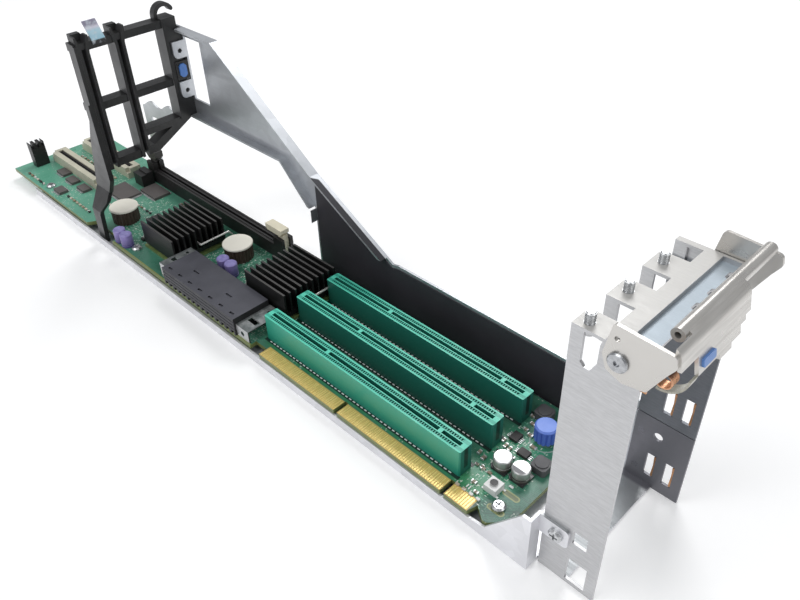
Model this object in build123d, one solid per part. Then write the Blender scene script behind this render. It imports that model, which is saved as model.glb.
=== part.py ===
from build123d import *

import math
import os

# Millimetres. +X runs along the board to the card cage, +Y to the back wall, +Z up.
# The origin is on the tray's underside, below the middle of the board.

# Sheet metal and stack-up
SHEET = 1.2
STANDOFF_HEIGHT = 4.0
BOARD_THICKNESS = 2.4
BOARD_UNDERSIDE = SHEET + STANDOFF_HEIGHT
BOARD_TOP = BOARD_UNDERSIDE + BOARD_THICKNESS

# Board
BOARD_LENGTH = 432.0
BOARD_WIDTH = 69.0
BOARD_CORNER = 7.0
BOARD_LEFT = -BOARD_LENGTH / 2
BOARD_RIGHT = BOARD_LENGTH / 2
BOARD_FRONT = -BOARD_WIDTH / 2
BOARD_BACK = BOARD_WIDTH / 2
NOTCH_LEFT = -112.0
NOTCH_RIGHT = -80.5
NOTCH_DEPTH = 5.0

# Edge fingers
FINGER_START = 65.6
FINGER_END = 200.0
FINGER_LIP = 1.0
FINGER_PITCH = 1.27
FINGER_PAD_WIDTH = 0.85
FINGER_PAD_LENGTH = 6.0
FINGER_PAD_THICKNESS = 0.1
FINGER_KEYS = (121.9, 186.7)
FINGER_KEY_WIDTH = 2.2
FINGER_KEY_DEPTH = 7.5
FINGER_RECESS_LEFT = 57.0
FINGER_RECESS_DEPTH = 4.0

# Screws that hold the board down on its standoffs
SCREW_PLACES = (
    (BOARD_LEFT + 44.0, BOARD_FRONT + 5.6),
    (BOARD_LEFT + 44.0, BOARD_BACK - 4.5),
    (-62.0, BOARD_FRONT + 6.0),
    (50.0, BOARD_BACK - 5.0),
    (BOARD_RIGHT - 6.0, BOARD_BACK - 6.0),
    (BOARD_RIGHT - 8.0, BOARD_FRONT + 9.0),
)
SCREW_RADIUS = 1.5
SCREW_CLEARANCE = 0.15
SCREW_HEAD = 2.9
SCREW_HEAD_HEIGHT = 1.8
SCREW_CROSS = 3.4
SCREW_CROSS_WIDTH = 0.7
STANDOFF_RADIUS = 3.0

# Tray
TRAY_LEFT = BOARD_LEFT + 33.0
TRAY_CLEARANCE = 0.3
TRAY_WIDTH = BOARD_WIDTH + 2 * (SHEET + TRAY_CLEARANCE)
TRAY_RIGHT = BOARD_RIGHT + 14.0
TRAY_FRONT = -TRAY_WIDTH / 2
TRAY_BACK = TRAY_WIDTH / 2
TRAY_FLANGE_TOP = BOARD_UNDERSIDE - 0.2
GUSSET_TOP = 29.0
GUSSET_START = TRAY_RIGHT - 21.0
GUSSET_END = TRAY_RIGHT - 4.0
TAB_RIGHT = TRAY_RIGHT + 12.5
TAB_BOTTOM = 20.0
TAB_SCREW_X = TRAY_RIGHT + 7.5
TAB_SCREW_Z = 24.4

# Card cage
CAGE_LEFT = TRAY_RIGHT + 1.0
CAGE_RIGHT = CAGE_LEFT + 24.0
CAGE_STEP_FRONT = 7.4
CAGE_STEP_BACK = 6.0
CAGE_INSIDE_FRONT = TRAY_FRONT + CAGE_STEP_FRONT
CAGE_INSIDE_BACK = TRAY_BACK - CAGE_STEP_BACK
CAGE_FRONT = CAGE_INSIDE_FRONT - SHEET
CAGE_BACK = CAGE_INSIDE_BACK + SHEET
CAGE_FLOOR_END = CAGE_LEFT + 12.5
SIDE_PLATE_TOP = 103.6
FAR_PLATE_SPLIT = 37.0
FAR_PLATE_GAP = 0.6
FAR_SLOT_WIDTH = 4.0
FAR_SLOTS = (
    (CAGE_LEFT + 11.5, 42.5, 54.5),
    (CAGE_LEFT + 19.0, 42.5, 54.5),
    (CAGE_LEFT + 9.8, 6.0, 18.0),
    (CAGE_LEFT + 17.9, 6.0, 18.0),
)
FAR_HOLE_X = CAGE_LEFT + 10.4
FAR_HOLE_Z = 28.7
FAR_HOLE_RADIUS = 2.0
SPRING_STRIP = 0.9
NEAR_OPENINGS = (
    (CAGE_LEFT + 12.5, CAGE_LEFT + 18.3, 24.0, 30.3),
    (CAGE_LEFT + 11.8, CAGE_LEFT + 20.0, 2.2, 14.5),
)

# Ledge that the card brackets are screwed to
LEDGE_TOP = 117.6
LEDGE_TAB_END = CAGE_LEFT + 10.0
LEDGE_TAB_WIDTH = 11.5
LEDGE_TAB_FRONT = CAGE_BACK - 43.2
LEDGE_HANGER = 4.4
LEDGE_HANGER_LENGTH = 18.0
LEDGE_STEP = CAGE_LEFT + 16.0
LEDGE_STEP_DROP = 1.8
LEDGE_END = CAGE_RIGHT - 0.8
LEDGE_SLOT_Y = (CAGE_BACK - 28.2, CAGE_BACK - 18.7, CAGE_BACK - 7.2)
BOSS_RADIUS = 2.6
BOSS_HEIGHT = 2.2
STUD_X = CAGE_LEFT + 3.8
STUD_OFFSET = -5.2
STUD_RADIUS = 1.5
STUD_SHANK = 1.8
STUD_HEIGHT = 3.9
STUD_CHAMFER = 0.3

# Card slots
SLOT_PITCH = 20.32
SLOT_COUNT = 3
SLOT_MIDDLE = -0.73
SLOT_LEFT = 59.0
SLOT_LENGTH = 128.0
SLOT_WIDTH = 7.9
SLOT_HEIGHT = 14.5
SLOT_GROOVE = 1.9
SLOT_GROOVE_DEPTH = 9.0
SLOT_END_WALL = 2.6
SLOT_KEYS = (42.5, 113.0)
SLOT_KEY_WIDTH = 2.0
SLOT_SHOULDER = 1.4
SLOT_SHOULDER_DROP = 0.9

# Card latch
PIVOT_EAR = 7.0
PIVOT_X = CAGE_RIGHT - PIVOT_EAR
PIVOT_Z = 113.6
PIVOT_RADIUS = 2.0
RUNNING_GAP = 0.06
SIDE_GAP = 0.3
RIVET_HEAD = 3.3
RIVET_HEAD_HEIGHT = 1.0
RIVET_PLAY = 0.1
LATCH_EAR = (
    (-3.3, 12.1),
    (15.6, 11.0),
    (16.4, 7.4),
    (14.0, 3.4),
    (9.5, -5.4),
    (2.0, -6.8),
    (-3.5, -4.6),
    (-5.4, 0.4),
)
BAR_X = PIVOT_X + 11.5
BAR_Z = PIVOT_Z + 12.0
BAR_RADIUS = 2.2
BAR_START = CAGE_FRONT + 5.8
BEND_X = PIVOT_X + 12.0
BEND_Z = PIVOT_Z + 8.9
BEND_RADIUS = 4.6
BEND_START = CAGE_FRONT + 7.8
FLAP_LEAN = 12.0
FLAP_DROP = 3.0
FLAP_STEPS = ((-21.0, 9.5), (-9.0, 11.2), (-2.0, 9.4), (3.5, 6.4), (6.5, 4.6), (9.5, 4.6))
CURL_RADIUS = 2.2

# Card guide
GUIDE_FRONT = -77.0
GUIDE_DEPTH = 9.6
GUIDE_BACK = GUIDE_FRONT - GUIDE_DEPTH
GUIDE_LEFT = TRAY_FRONT + 10.0
GUIDE_RIGHT = TRAY_BACK - 2.0
GUIDE_WEB = 8.6
GUIDE_WEB_BOTTOM = 66.0
GUIDE_RAIL = 2.1
GUIDE_RAIL_DEPTH = 7.0
GUIDE_RAIL_TOP = 123.0
GUIDE_POSTS = 2
GUIDE_POST = 5.6
GUIDE_CHANNEL = 2.4
GUIDE_CHANNEL_DEPTH = 6.0
GUIDE_MOUTH = 8.0
GUIDE_MOUTH_DEPTH = 4.5
GUIDE_MOUTH_TOP = 127.5
GUIDE_BAR_INSET = 1.0
GUIDE_BARS = ((52.4, 57.2), (86.8, 91.0), (119.6, 123.8))
GUIDE_FOOT_FRONT = TRAY_FRONT + 2.4
GUIDE_FOOT = 2.6
HOOK_Y = 29.9
HOOK_Z = 125.6
HOOK_OUTER = 6.4
HOOK_INNER = 4.2
HOOK_THICKNESS = 4.0
BUTTON_Y = 31.9
BUTTON_Z = 94.6
BUTTON_WIDTH = 4.4
BUTTON_HEIGHT = 7.6
BUTTON_LENGTH = 5.0
BUTTON_STANDS = 1.0
BUTTON_TRAVEL = 1.5

# Back wall and its arm
WALL_TOP = 35.6
WALL_LEFT = 29.5
WALL_RIGHT = TRAY_RIGHT + SHEET
WALL_LAP_END = CAGE_LEFT + 7.0
ARM_LEFT = -82.0
ARM_TOP = 118.0
ARM_UNDERSIDE = 65.8
ARM_FLANGE = 4.5
ARM_WINDOW = (-75.7, -60.0, 76.0, 113.0)
ARM_EAR_START = TRAY_BACK - 7.8
ARM_EARS = ((78.3, 88.2), (101.5, 111.2))
ARM_EAR_HOLE = 1.3
ARM_EAR_CORNER = 3.0
INSULATOR = 0.5
INSULATOR_EDGE = 1.7
INSULATOR_RIGHT = TRAY_RIGHT - 26.0
INSULATOR_TOP = 62.0
REAR_LEFT = -146.0
REAR_RIGHT = -108.0
REAR_TOP = 53.8
REAR_RISE = 5.2
REAR_WAVE = 1.9
REAR_WAVE_SPAN = 0.58
REAR_STEPS = 14
REAR_STRIP = 8.0
REAR_FOOT = 4.0
REAR_BAND_LOW = 46.5
WALL_RIVET = 1.5
WALL_RIVET_Z = SHEET + WALL_RIVET
WALL_RIVET_HEAD = 2.2
WALL_RIVET_X = (45.0, 95.0, 150.0, TRAY_RIGHT - 15.0)
REAR_PLATE_RIVET_X = (REAR_LEFT - 1.0, REAR_LEFT + REAR_STRIP + 1.0)
LAP_RIVET_Z = (8.0, 28.0)
LAP_RIVET_X = CAGE_LEFT + 3.5

# Memory socket
DIMM_LEFT = -131.0
DIMM_LENGTH = 144.0
DIMM_Y = BOARD_BACK - 8.3
DIMM_WIDTH = 8.0
DIMM_HEIGHT = 9.0
DIMM_TOWER = 8.0
DIMM_TOWER_HEIGHT = 14.0
DIMM_GROOVE = 1.6
DIMM_LATCH_WIDTH = 3.6
DIMM_LATCH_GAP = 0.15
DIMM_PIVOT_INSET = 4.0
DIMM_PIVOT_HEIGHT = 3.6
DIMM_PIN_RADIUS = 1.0

# Heatsinks on their chip packages
SINK_PLACES = ((-43.8, -6.0), (40.8, 6.0))
SINK_LENGTH = 33.0
SINK_WIDTH = 34.0
SINK_BASE = 2.4
SINK_TOP = 25.0
SINK_FINS = 10
SINK_FIN = 1.1
CHIP_STEP = 1.4
CHIP_HEIGHT = 3.0
CHIP_OVERHANG = 0.6
CHIP_DIE = 24.0
CLIP_WIRE = 0.6
CLIP_Z = 15.6
CLIP_SIDE = 0.9
CLIP_ENDS = ((-23.6, -14.5), (15.6, 23.3))
ANCHOR_HEIGHT = 1.4

# Grey plug housing on the front edge, between two metal brackets
PLUG_LEFT = -20.0
PLUG_RIGHT = 46.0
PLUG_FRONT = BOARD_FRONT - 0.7
PLUG_BACK = -13.0
PLUG_TOP = 18.1
PLUG_NOTCHES = 7
PLUG_TEETH = 15
PLUG_BRACKET_LEFT = 6.6
PLUG_BRACKET_RIGHT = 10.0

# Coils, cans and other parts on the board
COIL_PLACES = ((-96.2, -15.5), (-10.5, 8.3))
COIL_RADIUS = 8.2
COIL_HEIGHT = 8.9
COIL_CAP_RADIUS = 8.7
COIL_CAP = 1.1
COIL_RIBS = 24
PURPLE_PLACES = ((-76.8, BOARD_FRONT + 4.5), (-69.4, BOARD_FRONT + 4.5), (-6.2, -5.2), (1.2, -5.2))
PURPLE_RADIUS = 3.6
PURPLE_HEIGHT = 8.2
METAL_PLACES = ((196.2, -8.6), (205.2, -8.0))
METAL_RADIUS = 4.0
METAL_HEIGHT = 6.6
CAN_BASE = 1.0
KNOB_X = 200.5
KNOB_Y = 14.8
KNOB_RADIUS = 5.0
KNOB_TOP = 17.6
KNOB_STEM = 2.0
KNOB_FLUTES = 14
KNOB_SEAT_RADIUS = 3.6
KNOB_SEAT_HEIGHT = 2.0
CREAM_CONNECTORS = (
    (BOARD_LEFT + 10.0, BOARD_LEFT + 73.0, -10.6, 0.0),
    (BOARD_LEFT + 9.0, BOARD_LEFT + 74.0, 12.0, 22.0),
)
CREAM_HEIGHT = 7.0
CREAM_GROOVE = 3.4


def block(x_low, x_high, y_low, y_high, z_low, z_high):
    """A cuboid between two corners."""
    middle = ((x_low + x_high) / 2, (y_low + y_high) / 2, (z_low + z_high) / 2)
    return Pos(*middle) * Box(x_high - x_low, y_high - y_low, z_high - z_low)


def on_board(x, y, length, width, height):
    """A cuboid standing on the board, from its middle."""
    return Pos(x, y, BOARD_TOP + height / 2) * Box(length, width, height)


def plate_across_y(outline, y_low, thickness):
    """A flat plate standing across Y, from its outline in X and Z."""
    face = make_face(Polyline([(x, y_low, z) for x, z in outline], close=True))
    return extrude(face, amount=thickness, dir=(0, 1, 0))


def plate_across_x(outline, x_low, thickness):
    """A flat plate standing across X, from its outline in Y and Z."""
    face = make_face(Polyline([(x_low, y, z) for y, z in outline], close=True))
    return extrude(face, amount=thickness, dir=(1, 0, 0))


def plate_across_z(outline, z_low, thickness):
    """A flat plate lying across Z, from its outline in X and Y."""
    face = make_face(Polyline([(x, y, z_low) for x, y in outline], close=True))
    return extrude(face, amount=thickness, dir=(0, 0, 1))


def upright(x, y, z_low, radius, height):
    """An upright cylinder from its base."""
    return Pos(x, y, z_low + height / 2) * Cylinder(radius, height)


def along_y(x, y_low, z, radius, length):
    """A cylinder lying along Y from its low end."""
    return Pos(x, y_low + length / 2, z) * Rot(90, 0, 0) * Cylinder(radius, length)


def along_x(x_low, y, z, radius, length):
    """A cylinder lying along X from its low end."""
    return Pos(x_low + length / 2, y, z) * Rot(0, 90, 0) * Cylinder(radius, length)


def union(pieces):
    """One shape from a list of touching or overlapping ones."""
    whole = pieces[0]
    for piece in pieces[1:]:
        whole = whole + piece
    return whole


def save(shape, name):
    """Writes a node; a list becomes a group of separate solids."""
    if isinstance(shape, list):
        shape = Compound(children=[solid for piece in shape for solid in piece.solids()])
    export_step(shape, f"parts/{name}.step")


def slot_y(index):
    """The middle of a card slot, counted from the front."""
    return SLOT_MIDDLE + (index - (SLOT_COUNT - 1) / 2) * SLOT_PITCH


def riser_board():
    """The board with its finger edge, key cuts, guide notch and screw holes."""
    lip = BOARD_FRONT - FINGER_LIP
    outline = [
        (BOARD_LEFT, BOARD_FRONT),
        (NOTCH_LEFT, BOARD_FRONT),
        (NOTCH_LEFT + 3.0, BOARD_FRONT + NOTCH_DEPTH),
        (NOTCH_RIGHT, BOARD_FRONT + NOTCH_DEPTH),
        (NOTCH_RIGHT, BOARD_FRONT),
        (FINGER_RECESS_LEFT, BOARD_FRONT),
        (FINGER_RECESS_LEFT, BOARD_FRONT + FINGER_RECESS_DEPTH),
        (FINGER_START, BOARD_FRONT + FINGER_RECESS_DEPTH),
        (FINGER_START, lip),
        (FINGER_END, lip),
        (FINGER_END + 1.5, BOARD_FRONT + FINGER_RECESS_DEPTH),
        (FINGER_END + 7.0, BOARD_FRONT),
        (BOARD_RIGHT - BOARD_CORNER, BOARD_FRONT),
        (BOARD_RIGHT, BOARD_FRONT + BOARD_CORNER),
        (BOARD_RIGHT, BOARD_BACK),
        (BOARD_LEFT, BOARD_BACK),
    ]
    board = plate_across_z(outline, BOARD_UNDERSIDE, BOARD_THICKNESS)
    half = FINGER_KEY_WIDTH / 2
    for key in FINGER_KEYS:
        board -= block(key - half, key + half, lip - 1, lip + FINGER_KEY_DEPTH, 0, BOARD_TOP + 1)
    for x, y in SCREW_PLACES:
        board -= upright(x, y, 0, SCREW_RADIUS + SCREW_CLEARANCE, BOARD_TOP + 1)
    return board - upright(KNOB_X, KNOB_Y, 0, KNOB_STEM + 0.6, BOARD_TOP + 1)


def gold_fingers():
    """Contact pads along the board's front edge, left out where a key is cut."""
    low = BOARD_FRONT - FINGER_LIP + 0.4
    half = FINGER_PAD_WIDTH / 2
    keep_off = FINGER_KEY_WIDTH / 2 + half + 0.1
    pads = []
    for index in range(int((FINGER_END - FINGER_START - 1) / FINGER_PITCH)):
        x = FINGER_START + 1.2 + index * FINGER_PITCH
        if all(abs(x - key) > keep_off for key in FINGER_KEYS):
            top = BOARD_TOP + FINGER_PAD_THICKNESS
            pads.append(block(x - half, x + half, low, low + FINGER_PAD_LENGTH, BOARD_TOP, top))
    return pads


def standoffs():
    """Round threaded standoffs between the tray and the board."""
    pieces = []
    for x, y in SCREW_PLACES:
        bore = upright(x, y, SHEET - 1, SCREW_RADIUS, STANDOFF_HEIGHT + 2)
        pieces.append(upright(x, y, SHEET, STANDOFF_RADIUS, STANDOFF_HEIGHT) - bore)
    return pieces


def pan_head():
    """A pan-head screw top, standing on Z zero, with its cross recess."""
    head = upright(0, 0, 0, SCREW_HEAD, SCREW_HEAD_HEIGHT)
    head = chamfer(head.edges().group_by(Axis.Z)[-1], 0.8)
    bar = Box(SCREW_CROSS, SCREW_CROSS_WIDTH, 2.0)
    cross = bar + Rot(0, 0, 90) * bar
    return head - Pos(0, 0, SCREW_HEAD_HEIGHT) * cross


def board_screws():
    """Screws through the board into the standoffs."""
    length = BOARD_THICKNESS + STANDOFF_HEIGHT - 0.4
    shank = upright(0, 0, -length, SCREW_RADIUS, length)
    screw = pan_head() + shank
    return [Pos(x, y, BOARD_TOP) * screw for x, y in SCREW_PLACES]


def tray():
    """Folded tray: floor, flanges, front gusset, cage tab and lower far plate."""
    floor = plate_across_z(
        [
            (TRAY_LEFT, TRAY_FRONT),
            (TRAY_RIGHT, TRAY_FRONT),
            (TRAY_RIGHT, CAGE_INSIDE_FRONT),
            (CAGE_FLOOR_END, CAGE_INSIDE_FRONT),
            (CAGE_FLOOR_END, CAGE_BACK),
            (TRAY_RIGHT, CAGE_BACK),
            (TRAY_RIGHT, TRAY_BACK),
            (TRAY_LEFT, TRAY_BACK),
        ],
        0,
        SHEET,
    )
    front = plate_across_y(
        [
            (TRAY_LEFT, 0),
            (TRAY_RIGHT, 0),
            (TRAY_RIGHT, GUSSET_TOP),
            (GUSSET_END, GUSSET_TOP),
            (GUSSET_START, TRAY_FLANGE_TOP + 1),
            (GUSSET_START - 7, TRAY_FLANGE_TOP),
            (TRAY_LEFT, TRAY_FLANGE_TOP),
        ],
        TRAY_FRONT,
        SHEET,
    )
    back = block(TRAY_LEFT, TRAY_RIGHT, TRAY_BACK - SHEET, TRAY_BACK, 0, TRAY_FLANGE_TOP)
    for x in REAR_PLATE_RIVET_X + WALL_RIVET_X:
        back -= along_y(x, TRAY_BACK - SHEET - 1, WALL_RIVET_Z, WALL_RIVET, SHEET + 2)
    inner = TRAY_RIGHT - SHEET
    jog = block(inner, TRAY_RIGHT, TRAY_FRONT, CAGE_FRONT, 0, GUSSET_TOP)
    tab = block(inner, TAB_RIGHT, CAGE_FRONT - SHEET, CAGE_FRONT, TAB_BOTTOM, GUSSET_TOP)
    tab = fillet(tab.edges().filter_by(Axis.Y).group_by(Axis.X)[-1], 2.0)
    tab -= along_y(TAB_SCREW_X, CAGE_FRONT - 3, TAB_SCREW_Z, SCREW_RADIUS, 6)
    far = block(CAGE_LEFT, CAGE_RIGHT, CAGE_INSIDE_BACK, CAGE_BACK, 0, FAR_PLATE_SPLIT)
    far = far - far_openings() - lap_rivet_holes()
    return union([floor, front, back, jog, tab, far])


def lap_rivet_holes():
    """Holes for the rivets that join the wall to the cage."""
    return union([along_y(LAP_RIVET_X, CAGE_INSIDE_BACK - 1, z, WALL_RIVET, 5) for z in LAP_RIVET_Z])


def far_openings():
    """Upright slots and one round hole through the cage's far side."""
    low = CAGE_INSIDE_BACK - 1
    half = FAR_SLOT_WIDTH / 2
    cuts = [block(x - half, x + half, low, low + 3.2, z0, z1) for x, z0, z1 in FAR_SLOTS]
    cuts.append(along_y(FAR_HOLE_X, low, FAR_HOLE_Z, FAR_HOLE_RADIUS, 3.2))
    return union(cuts)


def grounding_springs():
    """Copper strips bowed out along one edge of each far slot."""
    strips = []
    for x, z_low, z_high in FAR_SLOTS:
        right = x + FAR_SLOT_WIDTH / 2
        middle = (z_low + z_high) / 2
        outline = [
            (CAGE_INSIDE_BACK, z_low + 0.6),
            (CAGE_BACK, z_low + 0.6),
            (CAGE_BACK + 0.9, middle),
            (CAGE_BACK, z_high - 0.6),
            (CAGE_INSIDE_BACK, z_high - 0.6),
            (CAGE_INSIDE_BACK + 0.9, middle),
        ]
        strips.append(plate_across_x(outline, right - SPRING_STRIP, SPRING_STRIP))
    return strips


def end_frame():
    """Card cage folded from one sheet: near side, ledge and upper far side."""
    ledge_underside = LEDGE_TOP - SHEET
    hanger = CAGE_LEFT + LEDGE_HANGER
    near = plate_across_y(
        [
            (CAGE_LEFT, 0),
            (CAGE_RIGHT, 0),
            (CAGE_RIGHT, PIVOT_Z),
            (PIVOT_X - PIVOT_EAR, PIVOT_Z),
            (PIVOT_X - PIVOT_EAR, SIDE_PLATE_TOP + 4),
            (PIVOT_X - PIVOT_EAR - 2, SIDE_PLATE_TOP),
            (hanger + 1.5, SIDE_PLATE_TOP),
            (hanger, SIDE_PLATE_TOP + 1.5),
            (hanger, LEDGE_TOP),
            (CAGE_LEFT, LEDGE_TOP),
        ],
        CAGE_FRONT,
        SHEET,
    )
    near += along_y(PIVOT_X, CAGE_FRONT, PIVOT_Z, PIVOT_EAR, SHEET)
    for x_low, x_high, z_low, z_high in NEAR_OPENINGS:
        near -= block(x_low, x_high, CAGE_FRONT - 1, CAGE_INSIDE_FRONT + 1, z_low, z_high)
    near -= along_y(TAB_SCREW_X, CAGE_FRONT - 1, TAB_SCREW_Z, SCREW_RADIUS, 4)
    far_low = FAR_PLATE_SPLIT + FAR_PLATE_GAP
    far = block(CAGE_LEFT, CAGE_RIGHT, CAGE_INSIDE_BACK, CAGE_BACK, far_low, LEDGE_TOP)
    far -= far_openings()
    strip = block(LEDGE_TAB_END, LEDGE_STEP, CAGE_FRONT, CAGE_BACK, ledge_underside, LEDGE_TOP)
    step_low = ledge_underside - LEDGE_STEP_DROP
    riser = block(LEDGE_STEP - SHEET, LEDGE_STEP, CAGE_INSIDE_FRONT, CAGE_BACK, step_low, LEDGE_TOP)
    shelf = block(LEDGE_STEP - SHEET, LEDGE_END, CAGE_INSIDE_FRONT, CAGE_BACK, step_low, step_low + SHEET)
    for y in LEDGE_SLOT_Y:
        shelf -= Pos(LEDGE_END - 1.8, y, step_low) * extrude(SlotOverall(4.0, 1.6, rotation=90), 5, both=True)
    frame = union([near, far, strip, riser, shelf] + ledge_tabs() + hangers())
    for x, y in stud_places():
        frame += upright(x, y, ledge_underside - BOSS_HEIGHT, BOSS_RADIUS, BOSS_HEIGHT + SHEET / 2)
        frame -= upright(x, y, ledge_underside - BOSS_HEIGHT - 1, STUD_SHANK, BOSS_HEIGHT + SHEET + 2)
    frame -= along_y(PIVOT_X, CAGE_FRONT - 1, PIVOT_Z, PIVOT_RADIUS, SHEET + 1)
    return frame - along_y(PIVOT_X, CAGE_INSIDE_BACK, PIVOT_Z, PIVOT_RADIUS, SHEET + 1)


def tab_fronts():
    """The front edges of the ledge's tabs."""
    return [CAGE_FRONT] + [LEDGE_TAB_FRONT + index * SLOT_PITCH for index in range(SLOT_COUNT)]


def ledge_tabs():
    """Tabs that each hold one card bracket."""
    tabs = []
    for index, front in enumerate(tab_fronts()):
        back = min(LEDGE_TAB_FRONT + (index - 1) * SLOT_PITCH + LEDGE_TAB_WIDTH, CAGE_BACK)
        tabs.append(block(CAGE_LEFT, LEDGE_TAB_END, front, back, LEDGE_TOP - SHEET, LEDGE_TOP))
    return tabs


def hangers():
    """Strips turned down from the front edge of the middle tabs."""
    low = LEDGE_TOP - LEDGE_HANGER_LENGTH
    right = CAGE_LEFT + LEDGE_HANGER
    fronts = tab_fronts()[1:]
    return [block(CAGE_LEFT, right, front, front + SHEET, low, LEDGE_TOP) for front in fronts]


def stud_places():
    """Where the bracket studs stand."""
    return [(STUD_X, slot_y(index) + STUD_OFFSET) for index in range(SLOT_COUNT)]


def bracket_studs():
    """Threaded studs pressed into the ledge's bosses."""
    low = LEDGE_TOP - SHEET - BOSS_HEIGHT
    pin = upright(0, 0, LEDGE_TOP, STUD_RADIUS, STUD_HEIGHT)
    pin = chamfer(pin.edges().group_by(Axis.Z)[-1], STUD_CHAMFER)
    stud = pin + upright(0, 0, low, STUD_SHANK, LEDGE_TOP - low)
    return [Pos(x, y, 0) * stud for x, y in stud_places()]


def tab_screw():
    """The screw that holds the tray's tab to the cage."""
    length = 2 * SHEET + 1.6
    screw = pan_head() + upright(0, 0, -length, SCREW_RADIUS, length)
    return Pos(TAB_SCREW_X, CAGE_FRONT - SHEET, TAB_SCREW_Z) * Rot(90, 0, 0) * screw


def latch_ear(y_low, corner):
    """One flat ear of the card latch, with its running hole."""
    ear = plate_across_y([(PIVOT_X + x, PIVOT_Z + z) for x, z in LATCH_EAR], y_low, SHEET)
    ear = fillet(ear.edges().filter_by(Axis.Y), corner)
    return ear - along_y(PIVOT_X, y_low - 1, PIVOT_Z, PIVOT_RADIUS + RUNNING_GAP, SHEET + 2)


def on_flap(shape):
    """Moves a shape from the flap's own frame, Z down its length, to its place."""
    return Pos(BEND_X + BEND_RADIUS, 0, BEND_Z) * Rot(0, -FLAP_LEAN, 0) * shape


def flap(near):
    """The comb-edged flap that hangs from the latch's bend."""
    outline = [(near, 0), (near, -FLAP_DROP), (FLAP_STEPS[0][0], -FLAP_DROP)]
    for (y, drop), (y_next, _) in zip(FLAP_STEPS, FLAP_STEPS[1:]):
        outline += [(y, -drop), (y_next, -drop)]
    outline.append((FLAP_STEPS[-1][0], 0))
    return on_flap(plate_across_x(outline, -SHEET, SHEET))


def latch_bend(near):
    """The quarter bend between the bar and the flap, cut back beside the near ear."""
    far = FLAP_STEPS[-1][0]
    bend = along_y(BEND_X, near, BEND_Z, BEND_RADIUS, far - near)
    bend -= along_y(BEND_X, near - 1, BEND_Z, BEND_RADIUS - SHEET, far - near + 2)
    bend &= block(BEND_X, BEND_X + 6, near, far, BEND_Z - 0.3, BEND_Z + 6)
    return bend - block(BEND_X - 1, BEND_X + 2.4, near - 1, BEND_START, BEND_Z - 1, BEND_Z + 6)


def card_latch():
    """Hinged latch: two ears, a rolled bar, a bend and a comb-edged flap."""
    near = CAGE_FRONT - SIDE_GAP
    back = CAGE_BACK + SIDE_GAP
    bar = along_y(BAR_X, BAR_START, BAR_Z, BAR_RADIUS, back - BAR_START)
    bar -= along_y(BAR_X, BAR_START - 1, BAR_Z, BAR_RADIUS - SHEET, back - BAR_START)
    near_ear = latch_ear(near - SHEET, 1.2)
    near_ear -= along_y(PIVOT_X - 1.5, near - SHEET - 1, PIVOT_Z + 7.5, 0.9, SHEET + 2)
    return union([near_ear, latch_ear(back, 1.9), bar, latch_bend(near), flap(near)])


def latch_touch_point():
    """Coloured pad on the flap, marking where a finger pulls."""
    pad = fillet(block(0, 0.8, -19.4, -12.6, -7.6, -4.8).edges().filter_by(Axis.X), 0.5)
    return on_flap(pad)


def latch_rivet(inner_y, outward):
    """One pivot rivet, from the cage's inner face outwards through a latch ear."""
    length = 2 * SHEET + SIDE_GAP + RIVET_PLAY
    shank = upright(0, 0, 0, PIVOT_RADIUS, length)
    head = upright(0, 0, length, RIVET_HEAD, RIVET_HEAD_HEIGHT)
    head = chamfer(head.edges().group_by(Axis.Z)[-1], 0.4)
    rivet = shank + head - upright(0, 0, length + RIVET_HEAD_HEIGHT - 0.6, 1.0, 1)
    return Pos(PIVOT_X, inner_y, PIVOT_Z) * Rot(-90 * outward, 0, 0) * rivet


def latch_rivets():
    """Pivot rivets on both sides of the cage."""
    return [latch_rivet(CAGE_INSIDE_FRONT, -1), latch_rivet(CAGE_INSIDE_BACK, 1)]


def latch_spring():
    """Curled copper strip that lies on the inside of the near plate."""
    strip = 0.6
    x = CAGE_RIGHT + CURL_RADIUS - strip
    z = PIVOT_Z - 1.6
    base = block(PIVOT_X + 3, x, CAGE_INSIDE_FRONT, CAGE_INSIDE_FRONT + strip, z - 7.0, z)
    curl = along_y(x, CAGE_INSIDE_FRONT, z, CURL_RADIUS, 6.0)
    return base + curl - along_y(x, CAGE_INSIDE_FRONT - 1, z, CURL_RADIUS - strip, 8.0)


def card_slot(index):
    """A long card connector with a keyed groove and lowered contact shoulders."""
    y = slot_y(index)
    right = SLOT_LEFT + SLOT_LENGTH
    top = BOARD_TOP + SLOT_HEIGHT
    body = block(SLOT_LEFT, right, y - SLOT_WIDTH / 2, y + SLOT_WIDTH / 2, BOARD_TOP, top)
    body = chamfer(body.edges().filter_by(Axis.Z), 0.6)
    groove = block(
        SLOT_LEFT + SLOT_END_WALL,
        right - SLOT_END_WALL,
        y - SLOT_GROOVE / 2,
        y + SLOT_GROOVE / 2,
        top - SLOT_GROOVE_DEPTH,
        top + 1,
    )
    for key in SLOT_KEYS:
        x = SLOT_LEFT + key
        groove -= block(x, x + SLOT_KEY_WIDTH, y - 2, y + 2, 0, top + 2)
    low = top - SLOT_SHOULDER_DROP
    for side in (-1, 1):
        edge = y + side * (SLOT_GROOVE / 2 + 0.6)
        outer = edge + side * SLOT_SHOULDER
        y_low = min(edge, outer)
        body -= block(SLOT_LEFT + 3.2, right - 3.2, y_low, y_low + SLOT_SHOULDER, low, top + 1)
    return body - groove


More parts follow.
